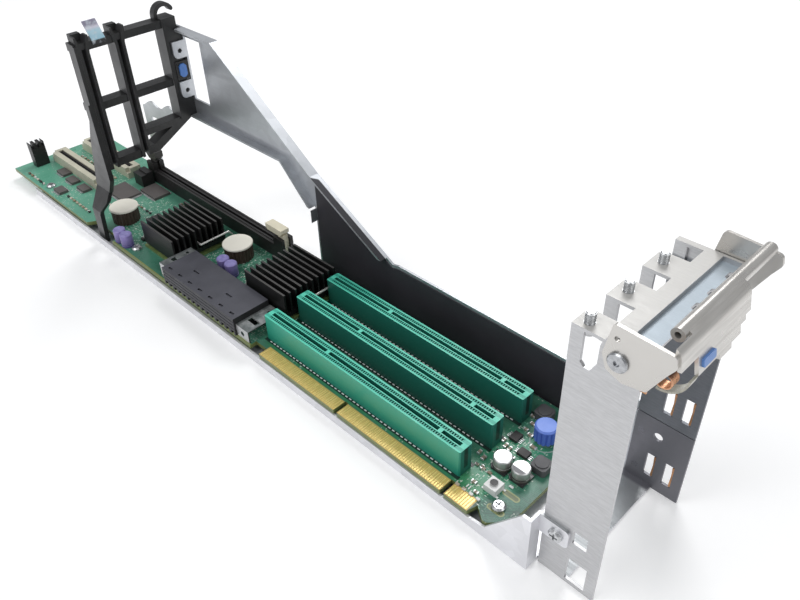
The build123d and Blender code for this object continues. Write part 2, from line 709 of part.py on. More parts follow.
def dimm_socket():
    """Memory socket: grooved bar with a forked tower at each end."""
    right = DIMM_LEFT + DIMM_LENGTH
    low = DIMM_Y - DIMM_WIDTH / 2
    high = DIMM_Y + DIMM_WIDTH / 2
    bar = block(DIMM_LEFT, right, low, high, BOARD_TOP, BOARD_TOP + DIMM_HEIGHT)
    tower_top = BOARD_TOP + DIMM_TOWER_HEIGHT
    bar += block(DIMM_LEFT, DIMM_LEFT + DIMM_TOWER, low, high, BOARD_TOP, tower_top)
    bar += block(right - DIMM_TOWER, right, low, high, BOARD_TOP, tower_top)
    half = DIMM_LATCH_WIDTH / 2 + DIMM_LATCH_GAP
    reach = DIMM_TOWER - 0.8
    for left in (DIMM_LEFT - 1, right - reach):
        bar -= block(left, left + reach + 1, DIMM_Y - half, DIMM_Y + half, BOARD_TOP, tower_top + 1)
    groove = DIMM_GROOVE / 2
    floor = BOARD_TOP + DIMM_HEIGHT - 5
    bar -= block(DIMM_LEFT + 2, right - 2, DIMM_Y - groove, DIMM_Y + groove, floor, tower_top + 1)
    for side in (-1, 1):
        y = DIMM_Y + side * 2.4
        inner = DIMM_LEFT + DIMM_TOWER + 1
        top = BOARD_TOP + DIMM_HEIGHT
        bar -= block(inner, right - DIMM_TOWER - 1, y - 0.5, y + 0.5, top - 1.2, top + 1)
    for x in dimm_pivots():
        bar -= along_y(x, low - 1, BOARD_TOP + DIMM_PIVOT_HEIGHT, DIMM_PIN_RADIUS + RUNNING_GAP, DIMM_WIDTH + 2)
    return bar


def dimm_pivots():
    """Where the two socket latches turn."""
    return (DIMM_LEFT + DIMM_PIVOT_INSET, DIMM_LEFT + DIMM_LENGTH - DIMM_PIVOT_INSET)


def dimm_latch(pivot_x, outward, top_in, top_out, top_z, thumb_height):
    """One socket latch: a lever with side pins and a thumb piece on top."""
    pivot_z = BOARD_TOP + DIMM_PIVOT_HEIGHT
    half = DIMM_LATCH_WIDTH / 2
    stem_height = top_z - pivot_z - thumb_height
    outline = [
        (-2.4, 0.0),
        (2.4, 0.0),
        (2.8, stem_height * 0.7),
        (2.2, stem_height),
        (-1.6, stem_height),
        (-2.2, stem_height * 0.7),
    ]
    stem = plate_across_y([(pivot_x + outward * x, pivot_z + z) for x, z in outline], DIMM_Y - half, 2 * half)
    stem += along_y(pivot_x, DIMM_Y - half, pivot_z, 2.4, 2 * half)
    ends = sorted((pivot_x - outward * top_in, pivot_x + outward * top_out))
    thumb = block(ends[0], ends[1], DIMM_Y - 2.8, DIMM_Y + 2.8, top_z - thumb_height, top_z)
    thumb = chamfer(thumb.edges().filter_by(Axis.Y).group_by(Axis.Z)[0], 0.4 * thumb_height)
    pin = along_y(pivot_x, DIMM_Y - DIMM_WIDTH / 2, pivot_z, DIMM_PIN_RADIUS, DIMM_WIDTH)
    return stem + thumb + pin


def chip_package(x, y):
    """A chip on its carrier, below a heatsink."""
    length = SINK_LENGTH + 2 * CHIP_OVERHANG
    width = SINK_WIDTH + 2 * CHIP_OVERHANG
    carrier = on_board(x, y, length, width, CHIP_STEP)
    return carrier + on_board(x, y, CHIP_DIE, CHIP_DIE, CHIP_HEIGHT)


def heatsink(x, y):
    """A base with upright fins that run along X."""
    low = BOARD_TOP + CHIP_HEIGHT
    left = x - SINK_LENGTH / 2
    right = x + SINK_LENGTH / 2
    front = y - SINK_WIDTH / 2
    pieces = [block(left, right, front, front + SINK_WIDTH, low, low + SINK_BASE)]
    pitch = (SINK_WIDTH - SINK_FIN) / (SINK_FINS - 1)
    for index in range(SINK_FINS):
        fin = front + index * pitch
        pieces.append(block(left, right, fin, fin + SINK_FIN, low + SINK_BASE, SINK_TOP))
    return union(pieces)


def clip_points(x, y):
    """The bends of the wire clip that holds a heatsink."""
    reach = SINK_LENGTH / 2 + CLIP_SIDE
    (left_x, left_y), (right_x, right_y) = CLIP_ENDS
    low = BOARD_TOP + ANCHOR_HEIGHT + CLIP_WIRE
    return [
        (x + left_x, y + left_y, low),
        (x - reach - 2.4, y - 12.0, CLIP_Z),
        (x - reach, y, CLIP_Z),
        (x + reach, y, CLIP_Z),
        (x + reach, y + 19.0, CLIP_Z),
        (x + right_x, y + right_y, low),
    ]


def heatsink_clip(x, y):
    """Bent wire through the middle of a heatsink."""
    path = Polyline(*clip_points(x, y))
    start = Plane(origin=path @ 0, z_dir=path % 0)
    return sweep(start * Circle(CLIP_WIRE), path=path, transition=Transition.RIGHT)


def clip_anchors():
    """Small blocks on the board that the wire clips hook over."""
    anchors = []
    for x, y in SINK_PLACES:
        points = clip_points(x, y)
        for end in (points[0], points[-1]):
            anchors.append(on_board(end[0], end[1], 3.2, 2.6, ANCHOR_HEIGHT))
    return anchors


def plug_housing():
    """Long plug housing with a ribbed front, notched top and toothed lower edge."""
    body = block(PLUG_LEFT, PLUG_RIGHT, PLUG_FRONT, PLUG_BACK, BOARD_TOP, PLUG_TOP)
    length = PLUG_RIGHT - PLUG_LEFT
    for z in (16.2, 14.0, 11.8):
        body -= block(PLUG_LEFT - 1, PLUG_RIGHT + 1, PLUG_FRONT - 1, PLUG_FRONT + 0.7, z - 0.5, z)
    pitch = length / PLUG_NOTCHES
    for index in range(PLUG_NOTCHES):
        x = PLUG_LEFT + (index + 0.5) * pitch
        body -= block(x - 1.6, x + 1.6, PLUG_FRONT + 2.2, PLUG_FRONT + 3.4, PLUG_TOP - 0.8, PLUG_TOP + 1)
    for x in (PLUG_LEFT + 18.0, PLUG_RIGHT - 18.0):
        body -= block(x - 2.4, x + 2.4, PLUG_FRONT + 10, PLUG_FRONT + 11, PLUG_TOP - 0.8, PLUG_TOP + 1)
    tooth = length / PLUG_TEETH
    for index in range(PLUG_TEETH):
        x = PLUG_LEFT + (index + 0.5) * tooth
        body -= block(x - 1.2, x + 1.2, PLUG_FRONT - 1, PLUG_FRONT + 2.4, 0, BOARD_TOP + 2.2)
    return body


def plug_bracket(x_low, x_high, y_front, top):
    """A folded metal bracket at one end of the plug housing."""
    cover = block(x_low, x_high, y_front, PLUG_BACK + 0.6, top - 0.8, top)
    cover -= upright((x_low + x_high) / 2, PLUG_BACK - 3.5, top - 2, 1.1, 3)
    cover -= block(x_low + 1.8, x_high - 1.8, y_front + 6, y_front + 9, top - 2, top + 1)
    back = block(x_low, x_high, PLUG_BACK - 0.2, PLUG_BACK + 0.6, BOARD_TOP, top)
    front = block(x_low, x_high, y_front, y_front + 0.8, BOARD_TOP, top)
    front -= along_y((x_low + x_high) / 2, y_front - 1, (BOARD_TOP + top) / 2, 1.4, 3)
    return union([cover, back, front])


def coil_windings():
    """Two round coils, their windings standing as ribs."""
    outline = []
    for index in range(4 * COIL_RIBS):
        radius = COIL_RADIUS if index % 4 < 2 else COIL_RADIUS - 0.7
        angle = math.pi * index / (2 * COIL_RIBS)
        outline.append((radius * math.cos(angle), radius * math.sin(angle)))
    coil = plate_across_z(outline, BOARD_TOP, COIL_HEIGHT)
    return [Pos(x, y, 0) * coil for x, y in COIL_PLACES]


def coil_caps():
    """Flat discs on the coils."""
    caps = [upright(x, y, BOARD_TOP + COIL_HEIGHT, COIL_CAP_RADIUS, COIL_CAP) for x, y in COIL_PLACES]
    return [chamfer(cap.edges().group_by(Axis.Z)[-1], 0.35) for cap in caps]


def round_can(radius, low, high):
    """A round can with a rolled shoulder and a waist above its foot."""
    can = chamfer(upright(0, 0, low, radius, high - low).edges().group_by(Axis.Z)[-1], 0.45)
    waist = upright(0, 0, low + 1.2, radius + 1, 0.7) - upright(0, 0, low, radius - 0.3, 4)
    return can - waist


def purple_capacitors():
    """Sleeved cans standing straight on the board."""
    can = round_can(PURPLE_RADIUS, BOARD_TOP, BOARD_TOP + PURPLE_HEIGHT)
    return [Pos(x, y, 0) * can for x, y in PURPLE_PLACES]


def metal_capacitors():
    """Bare cans on square bases with two corners cut."""
    base = chamfer(on_board(0, 0, 8.0, 8.0, CAN_BASE).edges().filter_by(Axis.Z).group_by(Axis.X)[0], 1.2)
    can = base + round_can(METAL_RADIUS, BOARD_TOP + CAN_BASE, BOARD_TOP + METAL_HEIGHT)
    return [Pos(x, y, 0) * can for x, y in METAL_PLACES]


def thumb_knob():
    """Fluted knob on a stem that turns in its seat."""
    low = BOARD_TOP + KNOB_SEAT_HEIGHT + 0.1
    head = upright(0, 0, low, KNOB_RADIUS, KNOB_TOP - low)
    head = chamfer(head.edges().group_by(Axis.Z)[-1], 0.7)
    flute = Pos(KNOB_RADIUS + 0.1, 0, (low + KNOB_TOP) / 2 - 1.2) * Rot(0, 0, 45) * Box(1, 1, KNOB_TOP - low)
    for index in range(KNOB_FLUTES):
        head -= Rot(0, 0, 360 * index / KNOB_FLUTES) * flute
    stem = upright(0, 0, BOARD_UNDERSIDE + 0.4, KNOB_STEM, low - BOARD_UNDERSIDE)
    return Pos(KNOB_X, KNOB_Y, 0) * (head + stem)


def knob_seat():
    """Ring on the board that the knob turns in."""
    ring = upright(KNOB_X, KNOB_Y, BOARD_TOP, KNOB_SEAT_RADIUS, KNOB_SEAT_HEIGHT)
    return ring - upright(KNOB_X, KNOB_Y, 0, KNOB_STEM + RUNNING_GAP, 20)


def square_switch():
    """Small push switch."""
    return on_board(201.0, -20.0, 6.0, 6.0, 3.4) + upright(201.0, -20.0, BOARD_TOP, 1.7, 4.3)


def shielded_inductors():
    """Square inductors with a round core showing on top."""
    pieces = []
    for x, y in ((208.6, 1.4), (192.0, BOARD_BACK - 8.5), (176.0, BOARD_BACK - 4.9)):
        body = chamfer(on_board(x, y, 7.4, 7.4, 3.6).edges().filter_by(Axis.Z), 1.0)
        pieces.append(body + upright(x, y, BOARD_TOP, 2.9, 4.1))
    return pieces


def soic_chips():
    """Small packages near the slots' end and between the coils."""
    places = ((190.6, 7.6, 4.0, 5.0), (198.7, 2.6, 5.0, 4.0), (10.5, 9.5, 8.0, 5.0), (-82.5, -3.0, 5.0, 8.0))
    return [on_board(x, y, length, width, 1.6) for x, y, length, width in places]


def flat_chips():
    """Flat packages on the left half of the board."""
    places = (
        (-127.5, 0.0, 21.0, 14.0),
        (DIMM_LEFT + 19.0, DIMM_Y - 12.0, 18.0, 11.4),
        (BOARD_LEFT + 33.3, -14.3, 10.0, 6.0),
        (BOARD_LEFT + 48.4, -15.5, 10.0, 6.0),
        (BOARD_LEFT + 55.3, BOARD_FRONT + 7.1, 9.0, 6.0),
        (BOARD_LEFT + 64.3, -15.6, 9.6, 6.0),
    )
    return [on_board(x, y, length, width, 1.7) for x, y, length, width in places]


def black_block():
    """Black block behind the flat chips, its back half raised."""
    left = DIMM_LEFT - 3.0
    right = DIMM_LEFT + 7.4
    back = DIMM_Y - DIMM_WIDTH / 2 - 1.2
    body = block(left, right, back - 8.5, back, BOARD_TOP, BOARD_TOP + 8.2)
    return body + block(left, right, back - 4.4, back, BOARD_TOP, BOARD_TOP + 9)


def black_header():
    """Tall header at the left end with a toothed top."""
    left = BOARD_LEFT + 5.0
    right = left + 6.0
    body = block(left, right, -23.2, -13.8, BOARD_TOP, BOARD_TOP + 17)
    for y in (-21.0, -17.6, -14.2):
        body -= block(left - 2, right + 2, y - 1.6, y, BOARD_TOP + 13.4, BOARD_TOP + 18)
    return body


def cream_connector(x_low, x_high, y_low, y_high):
    """A cable connector with a long groove in its top."""
    body = block(x_low, x_high, y_low, y_high, BOARD_TOP, BOARD_TOP + CREAM_HEIGHT)
    middle = (y_low + y_high) / 2
    half = CREAM_GROOVE / 2
    body -= block(x_low + 3, x_high - 3, middle - half, middle + half, BOARD_TOP + 2, BOARD_TOP + 9)
    for x in (x_low, x_high - 2.4):
        body -= block(x - 0.01, x + 2.41, y_low - 1, y_low + 2.4, BOARD_TOP + 4, BOARD_TOP + 9)
    return body


def connector_inserts():
    """Dark contact carriers in the grooves of the cable connectors."""
    inserts = []
    for x_low, x_high, y_low, y_high in CREAM_CONNECTORS:
        middle = (y_low + y_high) / 2
        half = CREAM_GROOVE / 2
        top = BOARD_TOP + CREAM_HEIGHT - 0.8
        bar = block(x_low + 3, x_high - 3, middle - half, middle + half, BOARD_TOP + 2, top)
        inserts.append(bar - block(x_low + 4, x_high - 4, middle - 0.4, middle + 0.4, top - 2, top + 1))
    return inserts


def small_passives():
    """Rows of small resistors and capacitors."""
    rows = (
        (66.0, -13.6, 18, 6.6, 1.0),
        (68.0, 9.8, 17, 6.8, 1.0),
        (BOARD_LEFT + 16.0, BOARD_FRONT + 3.5, 6, 4.2, 1.2),
        (-150.0, -27.5, 8, 4.0, 1.2),
        (-134.0, -14.0, 8, 3.6, 1.0),
        (-112.0, -2.0, 7, 3.4, 1.0),
        (-20.0, -9.8, 3, 3.0, 1.0),
        (5.0, -9.8, 4, 3.2, 1.0),
        (-86.0, 17.6, 7, 3.4, 1.0),
        (189.0, -28.4, 4, 3.6, 1.0),
        (188.0, -15.0, 3, 3.4, 1.0),
        (190.0, -3.4, 2, 3.2, 1.0),
        (BOARD_LEFT + 20.0, 6.0, 12, 4.2, 1.2),
    )
    pieces = []
    for x, y, count, pitch, size in rows:
        for index in range(count):
            pieces.append(on_board(x + index * pitch, y, 1.8 * size, 1.1 * size, 0.8 * size))
    return pieces


def wall_outline():
    """The back wall and its arm, in X and Z."""
    return [
        (ARM_LEFT, ARM_UNDERSIDE),
        (7.5, ARM_UNDERSIDE),
        (WALL_LEFT, 44.0),
        (WALL_LEFT, 0.0),
        (WALL_RIGHT, 0.0),
        (WALL_RIGHT, WALL_TOP),
        (92.0, WALL_TOP),
        (88.0, 34.6),
        (33.0, ARM_UNDERSIDE),
        (-42.0, ARM_TOP),
        (ARM_LEFT, ARM_TOP),
    ]


def wall_inside(inset):
    """The wall's outline moved inwards, as a face at the tray's back."""
    face = make_face(Polyline([(x, TRAY_BACK, z) for x, z in wall_outline()], close=True))
    return offset(face, amount=-inset, kind=Kind.INTERSECTION)


def back_wall():
    """Folded back wall with its arm, arm flanges and the lap onto the cage."""
    plate = plate_across_y(wall_outline(), TRAY_BACK, SHEET)
    front = TRAY_BACK - ARM_FLANGE
    rim = plate_across_y(wall_outline(), front, ARM_FLANGE)
    rim -= extrude(wall_inside(SHEET), amount=ARM_FLANGE, dir=(0, -1, 0))
    kept = block(-76.2, WALL_LEFT + 1, front - 1, TRAY_BACK + 1, 45.5, ARM_TOP + 1)
    kept += block(WALL_LEFT + 1, 86.0, front - 1, TRAY_BACK + 1, 37.0, ARM_TOP + 1)
    plate += rim & kept
    window_left, window_right, window_low, window_high = ARM_WINDOW
    back = TRAY_BACK + SHEET
    plate -= block(window_left, window_right, TRAY_BACK - 1, back + 1, window_low, window_high)
    for x in WALL_RIVET_X:
        plate -= along_y(x, TRAY_BACK - 1, WALL_RIVET_Z, WALL_RIVET, SHEET + 2)
    jog = block(TRAY_RIGHT, WALL_RIGHT, CAGE_BACK, back, 0, WALL_TOP)
    lap = block(TRAY_RIGHT, WALL_LAP_END, CAGE_BACK, CAGE_BACK + SHEET, 0, WALL_TOP)
    ears = [arm_ear(window_left, low, high) for low, high in ARM_EARS]
    return union([plate, jog, lap - lap_rivet_holes()] + ears)


def arm_ear(right, low, high):
    """A lug folded in from the window's edge, in front of the card guide."""
    ear = block(right - SHEET, right, ARM_EAR_START, TRAY_BACK + SHEET, low, high)
    corners = ear.edges().filter_by(Axis.X).group_by(Axis.Y)[0]
    ear = fillet(corners.sort_by(Axis.Z)[:1], ARM_EAR_CORNER)
    return ear - along_x(right - SHEET - 1, TRAY_BACK - 3.7, (low + high) / 2 - 0.6, ARM_EAR_HOLE, 4)


def wall_insulator():
    """Dark film on the inside of the wall and of the arm's foot."""
    face = wall_inside(INSULATOR_EDGE)
    film = extrude(face, amount=INSULATOR, dir=(0, -1, 0))
    low = TRAY_FLANGE_TOP + 1.6
    return film & block(WALL_LEFT + 1.8, INSULATOR_RIGHT, TRAY_BACK - 2, TRAY_BACK, low, INSULATOR_TOP)


def rear_plate():
    """Post behind the board with a wavy-topped band that reaches towards the arm."""
    right = REAR_LEFT + REAR_STRIP
    outline = [
        (REAR_RIGHT, REAR_BAND_LOW),
        (right + 2, REAR_BAND_LOW),
        (right, REAR_BAND_LOW - 2),
        (right, 10),
        (right + REAR_FOOT, 6),
        (right + REAR_FOOT, 0),
        (REAR_LEFT - REAR_FOOT, 0),
        (REAR_LEFT - REAR_FOOT, 6),
        (REAR_LEFT, 10),
    ]
    for step in range(REAR_STEPS + 1):
        share = step / REAR_STEPS
        wave = REAR_WAVE * math.cos(2 * math.pi * (share / REAR_WAVE_SPAN - 0.5))
        x = REAR_LEFT + (REAR_RIGHT - REAR_LEFT) * share
        outline.append((x, REAR_TOP + REAR_RISE * share + wave))
    plate = plate_across_y(outline, TRAY_BACK, SHEET)
    for x in REAR_PLATE_RIVET_X:
        plate -= along_y(x, TRAY_BACK - 1, WALL_RIVET_Z, WALL_RIVET, SHEET + 2)
    return plate


def wall_rivets():
    """Rivets that join the wall and the rear plate to the tray, and the lap to the cage."""
    rivets = []
    for x in REAR_PLATE_RIVET_X + WALL_RIVET_X:
        shank = along_y(x, TRAY_BACK - SHEET, WALL_RIVET_Z, WALL_RIVET, 2 * SHEET)
        rivets.append(shank + along_y(x, TRAY_BACK + SHEET, WALL_RIVET_Z, WALL_RIVET_HEAD, 0.8))
    for z in LAP_RIVET_Z:
        shank = along_y(LAP_RIVET_X, CAGE_INSIDE_BACK, z, WALL_RIVET, 2 * SHEET)
        rivets.append(shank + along_y(LAP_RIVET_X, CAGE_BACK + SHEET, z, WALL_RIVET_HEAD, 0.8))
    return rivets


def guide_post(y):
    """An upright channel for a card's far edge, widened at its mouth."""
    low = GUIDE_BARS[0][0]
    half = GUIDE_POST / 2
    post = block(GUIDE_BACK, GUIDE_FRONT, y - half, y + half, low, GUIDE_MOUTH_TOP)
    mouth = GUIDE_MOUTH / 2
    top = GUIDE_MOUTH_TOP
    flare = [(-half, -9), (half, -9), (mouth, -2), (mouth, 0), (-mouth, 0), (-mouth, -2)]
    flare = [(y + side, top + drop) for side, drop in flare]
    post += plate_across_x(flare, GUIDE_FRONT - GUIDE_MOUTH_DEPTH, GUIDE_MOUTH_DEPTH)
    channel = GUIDE_CHANNEL / 2
    open_half = mouth - 1.0
    cut = [(-channel, low - 1 - top), (channel, low - 1 - top), (channel, -7), (open_half, 0.5)]
    cut += [(-open_half, 0.5), (-channel, -7)]
    cut = [(y + side, top + drop) for side, drop in cut]
    return post - plate_across_x(cut, GUIDE_FRONT - GUIDE_CHANNEL_DEPTH, GUIDE_CHANNEL_DEPTH + 1)


def guide_hook():
    """C-shaped cable hook on top of the guide, with a rounded end."""
    x_low = GUIDE_FRONT - GUIDE_DEPTH + 2
    wide = HOOK_THICKNESS + 2
    ring = along_x(x_low, HOOK_Y, HOOK_Z, HOOK_OUTER, HOOK_THICKNESS)
    ring -= along_x(x_low - 1, HOOK_Y, HOOK_Z, HOOK_INNER, wide)
    open_side = [(0, 0), (10, 4.6), (10, -12), (-10, -12), (-10, 0)]
    open_side = [(HOOK_Y + y, HOOK_Z + z) for y, z in open_side]
    ring -= plate_across_x(open_side, x_low - 1, wide)
    middle = (HOOK_OUTER + HOOK_INNER) / 2
    angle = math.atan2(4.6, 10)
    end_y = HOOK_Y + middle * math.cos(angle)
    end_z = HOOK_Z + middle * math.sin(angle)
    end = along_x(x_low, end_y, end_z, (HOOK_OUTER - HOOK_INNER) / 2, HOOK_THICKNESS)
    root = HOOK_Y - HOOK_OUTER
    low = GUIDE_BARS[-1][0]
    stem = block(x_low, x_low + HOOK_THICKNESS, root, HOOK_Y - HOOK_INNER, low, HOOK_Z)
    return union([ring, end, stem])


def guide_leg():
    """The guide's leg, stepping forward to a foot on the tray through the board's notch."""
    upper = [(0, 92), (0, 46), (-6, 36), (-20, 36), (-19, 42), (-10, 70), (-2, 87)]
    upper = [(GUIDE_FRONT + x, z) for x, z in upper]
    leg = plate_across_y(upper, GUIDE_LEFT - 1, GUIDE_FOOT)
    lower = [(-20, 40), (-20.5, 25), (-22, SHEET), (-15, SHEET), (-12, 22), (-6, 31), (-6, 40)]
    lower = [(GUIDE_FRONT + x, z) for x, z in lower]
    band = [(GUIDE_LEFT - 1, 41), (GUIDE_LEFT - 1, 37), (GUIDE_FOOT_FRONT, 24), (GUIDE_FOOT_FRONT, SHEET)]
    band += [(y + GUIDE_FOOT, z) for y, z in reversed(band)]
    reach = plate_across_x(band, GUIDE_FRONT - 24, 24)
    foot = plate_across_y(lower, GUIDE_FOOT_FRONT - 1, 14) & reach
    return leg + foot


def button_outline(extra):
    """The guide button's long eight-sided outline in Y and Z."""
    half = BUTTON_WIDTH / 2 + extra
    tall = BUTTON_HEIGHT / 2 + extra
    cut = 1.3
    points = []
    for side_y, side_z, order in ((1, 1, 0), (-1, 1, 1), (-1, -1, 0), (1, -1, 1)):
        first = (BUTTON_Y + side_y * half, BUTTON_Z + side_z * (tall - cut))
        second = (BUTTON_Y + side_y * (half - cut), BUTTON_Z + side_z * tall)
        points += [second, first] if order else [first, second]
    return points


def card_guide():
    """One moulding: card channels, cross bars, brace, button housing, hook and leg."""
    back = GUIDE_BACK + GUIDE_BAR_INSET
    front = GUIDE_FRONT - GUIDE_BAR_INSET
    web = GUIDE_RIGHT - GUIDE_WEB
    pieces = [guide_post(slot_y(index)) for index in range(GUIDE_POSTS)]
    for low, high in GUIDE_BARS[1:]:
        pieces.append(block(back, front, GUIDE_LEFT, web + 1, low, high))
    low, high = GUIDE_BARS[0]
    pieces.append(block(back, front, GUIDE_LEFT, slot_y(1) + 9.0, low, high))
    rail = GUIDE_FRONT - GUIDE_RAIL_DEPTH
    pieces.append(block(rail, GUIDE_FRONT, GUIDE_LEFT, GUIDE_LEFT + GUIDE_RAIL, low, GUIDE_RAIL_TOP))
    pieces.append(block(GUIDE_BACK, GUIDE_FRONT, web, GUIDE_RIGHT, GUIDE_WEB_BOTTOM, GUIDE_MOUTH_TOP - 3))
    pieces.append(block(back, front, slot_y(1), web + 1, 63.8, 67.6))
    diagonal = [(slot_y(1) + 6.4, high), (slot_y(1) + 9.0, low), (GUIDE_RIGHT, GUIDE_WEB_BOTTOM), (web + 1, 67.4)]
    pieces.append(plate_across_x(diagonal, back, front - back))
    pads = ((110.5, 117.5), (GUIDE_WEB_BOTTOM + 0.5, 77.5), (89.4, 99.8))
    for low, high in pads:
        pieces.append(block(ARM_LEFT + 0.5, GUIDE_FRONT, web + 2, TRAY_BACK, low, high))
    low, high = pads[-1]
    pieces.append(block(GUIDE_BACK, GUIDE_FRONT + 1, web + 3.2, TRAY_BACK, low, high))
    pieces += [guide_hook(), guide_leg()]
    whole = union(pieces)
    half = GUIDE_CHANNEL / 2
    for index in range(GUIDE_POSTS):
        y = slot_y(index)
        depth = GUIDE_FRONT - GUIDE_CHANNEL_DEPTH
        whole -= block(depth, GUIDE_FRONT + 1, y - half, y + half, 40, GUIDE_MOUTH_TOP - 7)
    end = GUIDE_FRONT + 1
    depth = BUTTON_LENGTH - BUTTON_STANDS + BUTTON_TRAVEL + 0.5
    return whole - plate_across_x(button_outline(0.1), end - depth, depth + 1)


def guide_button():
    """Release button in the guide's housing."""
    end = GUIDE_FRONT + 1 + BUTTON_STANDS
    return plate_across_x(button_outline(0), end - BUTTON_LENGTH, BUTTON_LENGTH)


def guide_clip():
    """Thin leaning tab on the guide's top bar."""
    outline = [(-15.2, 121.8), (-7.8, 121.8), (-8.0, 124.0), (-10.8, 134.2), (-18.2, 134.2), (-15.4, 124.0)]
    return plate_across_x(outline, GUIDE_FRONT - GUIDE_BAR_INSET, 0.9)


def main():
    """Writes every node."""
    os.makedirs("parts", exist_ok=True)
    save(riser_board(), "riser_board")
    save(gold_fingers(), "gold_fingers")
    save(standoffs(), "standoffs")
    save(board_screws(), "board_screws")
    save(tray(), "tray")
    save(grounding_springs(), "grounding_springs")
    save(end_frame(), "end_frame")
    save(bracket_studs(), "bracket_studs")
    save(tab_screw(), "tab_screw")
    save(card_latch(), "card_latch")
    save(latch_touch_point(), "latch_touch_point")
    save(latch_rivets(), "latch_rivets")
    save(latch_spring(), "latch_spring")
    for index in range(SLOT_COUNT):
        save(card_slot(index), f"card_slot_{index + 1}")
    save(dimm_socket(), "dimm_socket")
    far_pivot, near_pivot = dimm_pivots()
    save(dimm_latch(near_pivot, 1, 11.5, 2.8, 27.0, 3.8), "dimm_latch_near")
    save(dimm_latch(far_pivot, -1, 7.6, 4.0, 30.0, 6.0), "dimm_latch_far")
    for index, (x, y) in enumerate(SINK_PLACES):
        save(chip_package(x, y), f"chip_package_{index + 1}")
        save(heatsink(x, y), f"heatsink_{index + 1}")
        save(heatsink_clip(x, y), f"heatsink_clip_{index + 1}")
    save(clip_anchors(), "clip_anchors")
    save(plug_housing(), "plug_housing")
    save(plug_bracket(PLUG_LEFT - PLUG_BRACKET_LEFT, PLUG_LEFT, PLUG_FRONT + 2.4, 17.0), "plug_bracket_left")
    save(plug_bracket(PLUG_RIGHT, PLUG_RIGHT + PLUG_BRACKET_RIGHT, PLUG_FRONT + 1.2, 14.6), "plug_bracket_right")
    save(coil_windings(), "coil_windings")
    save(coil_caps(), "coil_caps")
    save(purple_capacitors(), "purple_capacitors")
    save(metal_capacitors(), "metal_capacitors")
    save(thumb_knob(), "thumb_knob")
    save(knob_seat(), "knob_seat")
    save(square_switch(), "square_switch")
    save(shielded_inductors(), "shielded_inductors")
    save(soic_chips(), "soic_chips")
    save(flat_chips(), "flat_chips")
    save(black_block(), "black_block")
    save(black_header(), "black_header")
    for index, place in enumerate(CREAM_CONNECTORS):
        save(cream_connector(*place), f"cream_connector_{index + 1}")
    save(connector_inserts(), "connector_inserts")
    save(small_passives(), "small_passives")
    save(back_wall(), "back_wall")
    save(wall_insulator(), "wall_insulator")
    save(rear_plate(), "rear_plate")
    save(wall_rivets(), "wall_rivets")
    save(card_guide(), "card_guide")
    save(guide_button(), "guide_button")
    save(guide_clip(), "guide_clip")


main()
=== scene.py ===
import bpy
from math import cos, pi, radians, sin
from mathutils import Matrix, Vector


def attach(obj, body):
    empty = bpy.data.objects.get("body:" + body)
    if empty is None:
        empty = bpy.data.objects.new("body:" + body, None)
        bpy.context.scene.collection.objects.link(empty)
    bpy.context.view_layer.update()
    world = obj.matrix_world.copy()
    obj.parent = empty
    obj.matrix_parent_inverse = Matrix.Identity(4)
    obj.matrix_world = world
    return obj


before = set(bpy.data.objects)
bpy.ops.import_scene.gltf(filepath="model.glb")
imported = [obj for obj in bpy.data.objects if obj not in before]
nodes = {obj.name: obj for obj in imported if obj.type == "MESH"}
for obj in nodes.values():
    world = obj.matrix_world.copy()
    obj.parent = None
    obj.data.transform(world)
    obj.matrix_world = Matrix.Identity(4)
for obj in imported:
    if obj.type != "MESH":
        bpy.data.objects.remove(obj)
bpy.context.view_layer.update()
MM = 0.001

# Places on the part, in millimetres
BOARD_TOP = 7.6
SLOT_ROWS = (-21.05, -0.73, 19.59)
SLOT_PITCH = 20.32
SLOT_START = 62.2
SLOT_TOP = 22.1
CONTACT_PITCH = 1.27
DIMM_ROW = 26.2
DIMM_START = -121.0
DIMM_TOP = 16.45
STUD_X = 234.8
STUD_OFFSET = -5.2
STUD_FOOT = 118.0
KNOB_PLACE = (200.5, 14.8)
SWITCH_PLACE = (201.0, -20.0)


def add_camera():
    """The camera, at the angle from which the riser was photographed."""
    data = bpy.data.cameras.new("camera")
    data.sensor_width = 36.0
    data.lens = 34.963
    data.clip_start = 0.01
    camera = bpy.data.objects.new("camera", data)
    bpy.context.scene.collection.objects.link(camera)
    right = Vector((0.70897147, 0.70475688, -0.02602287))
    down = Vector((0.41828024, -0.44991738, -0.7890602))
    forward = Vector((-0.56780375, 0.54853632, -0.61376446))
    turned = Matrix((right, -down, -forward)).transposed().to_4x4()
    camera.matrix_world = Matrix.Translation((0.31998, -0.18383, 0.26052)) @ turned
    bpy.context.scene.camera = camera


# Sockets of the Mix node in its colour form
MIX_FACTOR, MIX_FIRST, MIX_SECOND, MIX_RESULT = 0, 6, 7, 2

# Stretches of a noise that give brush strokes along X
SHORT_STROKES = (230, 1500, 1500)
LONG_STREAKS = (45, 420, 420)


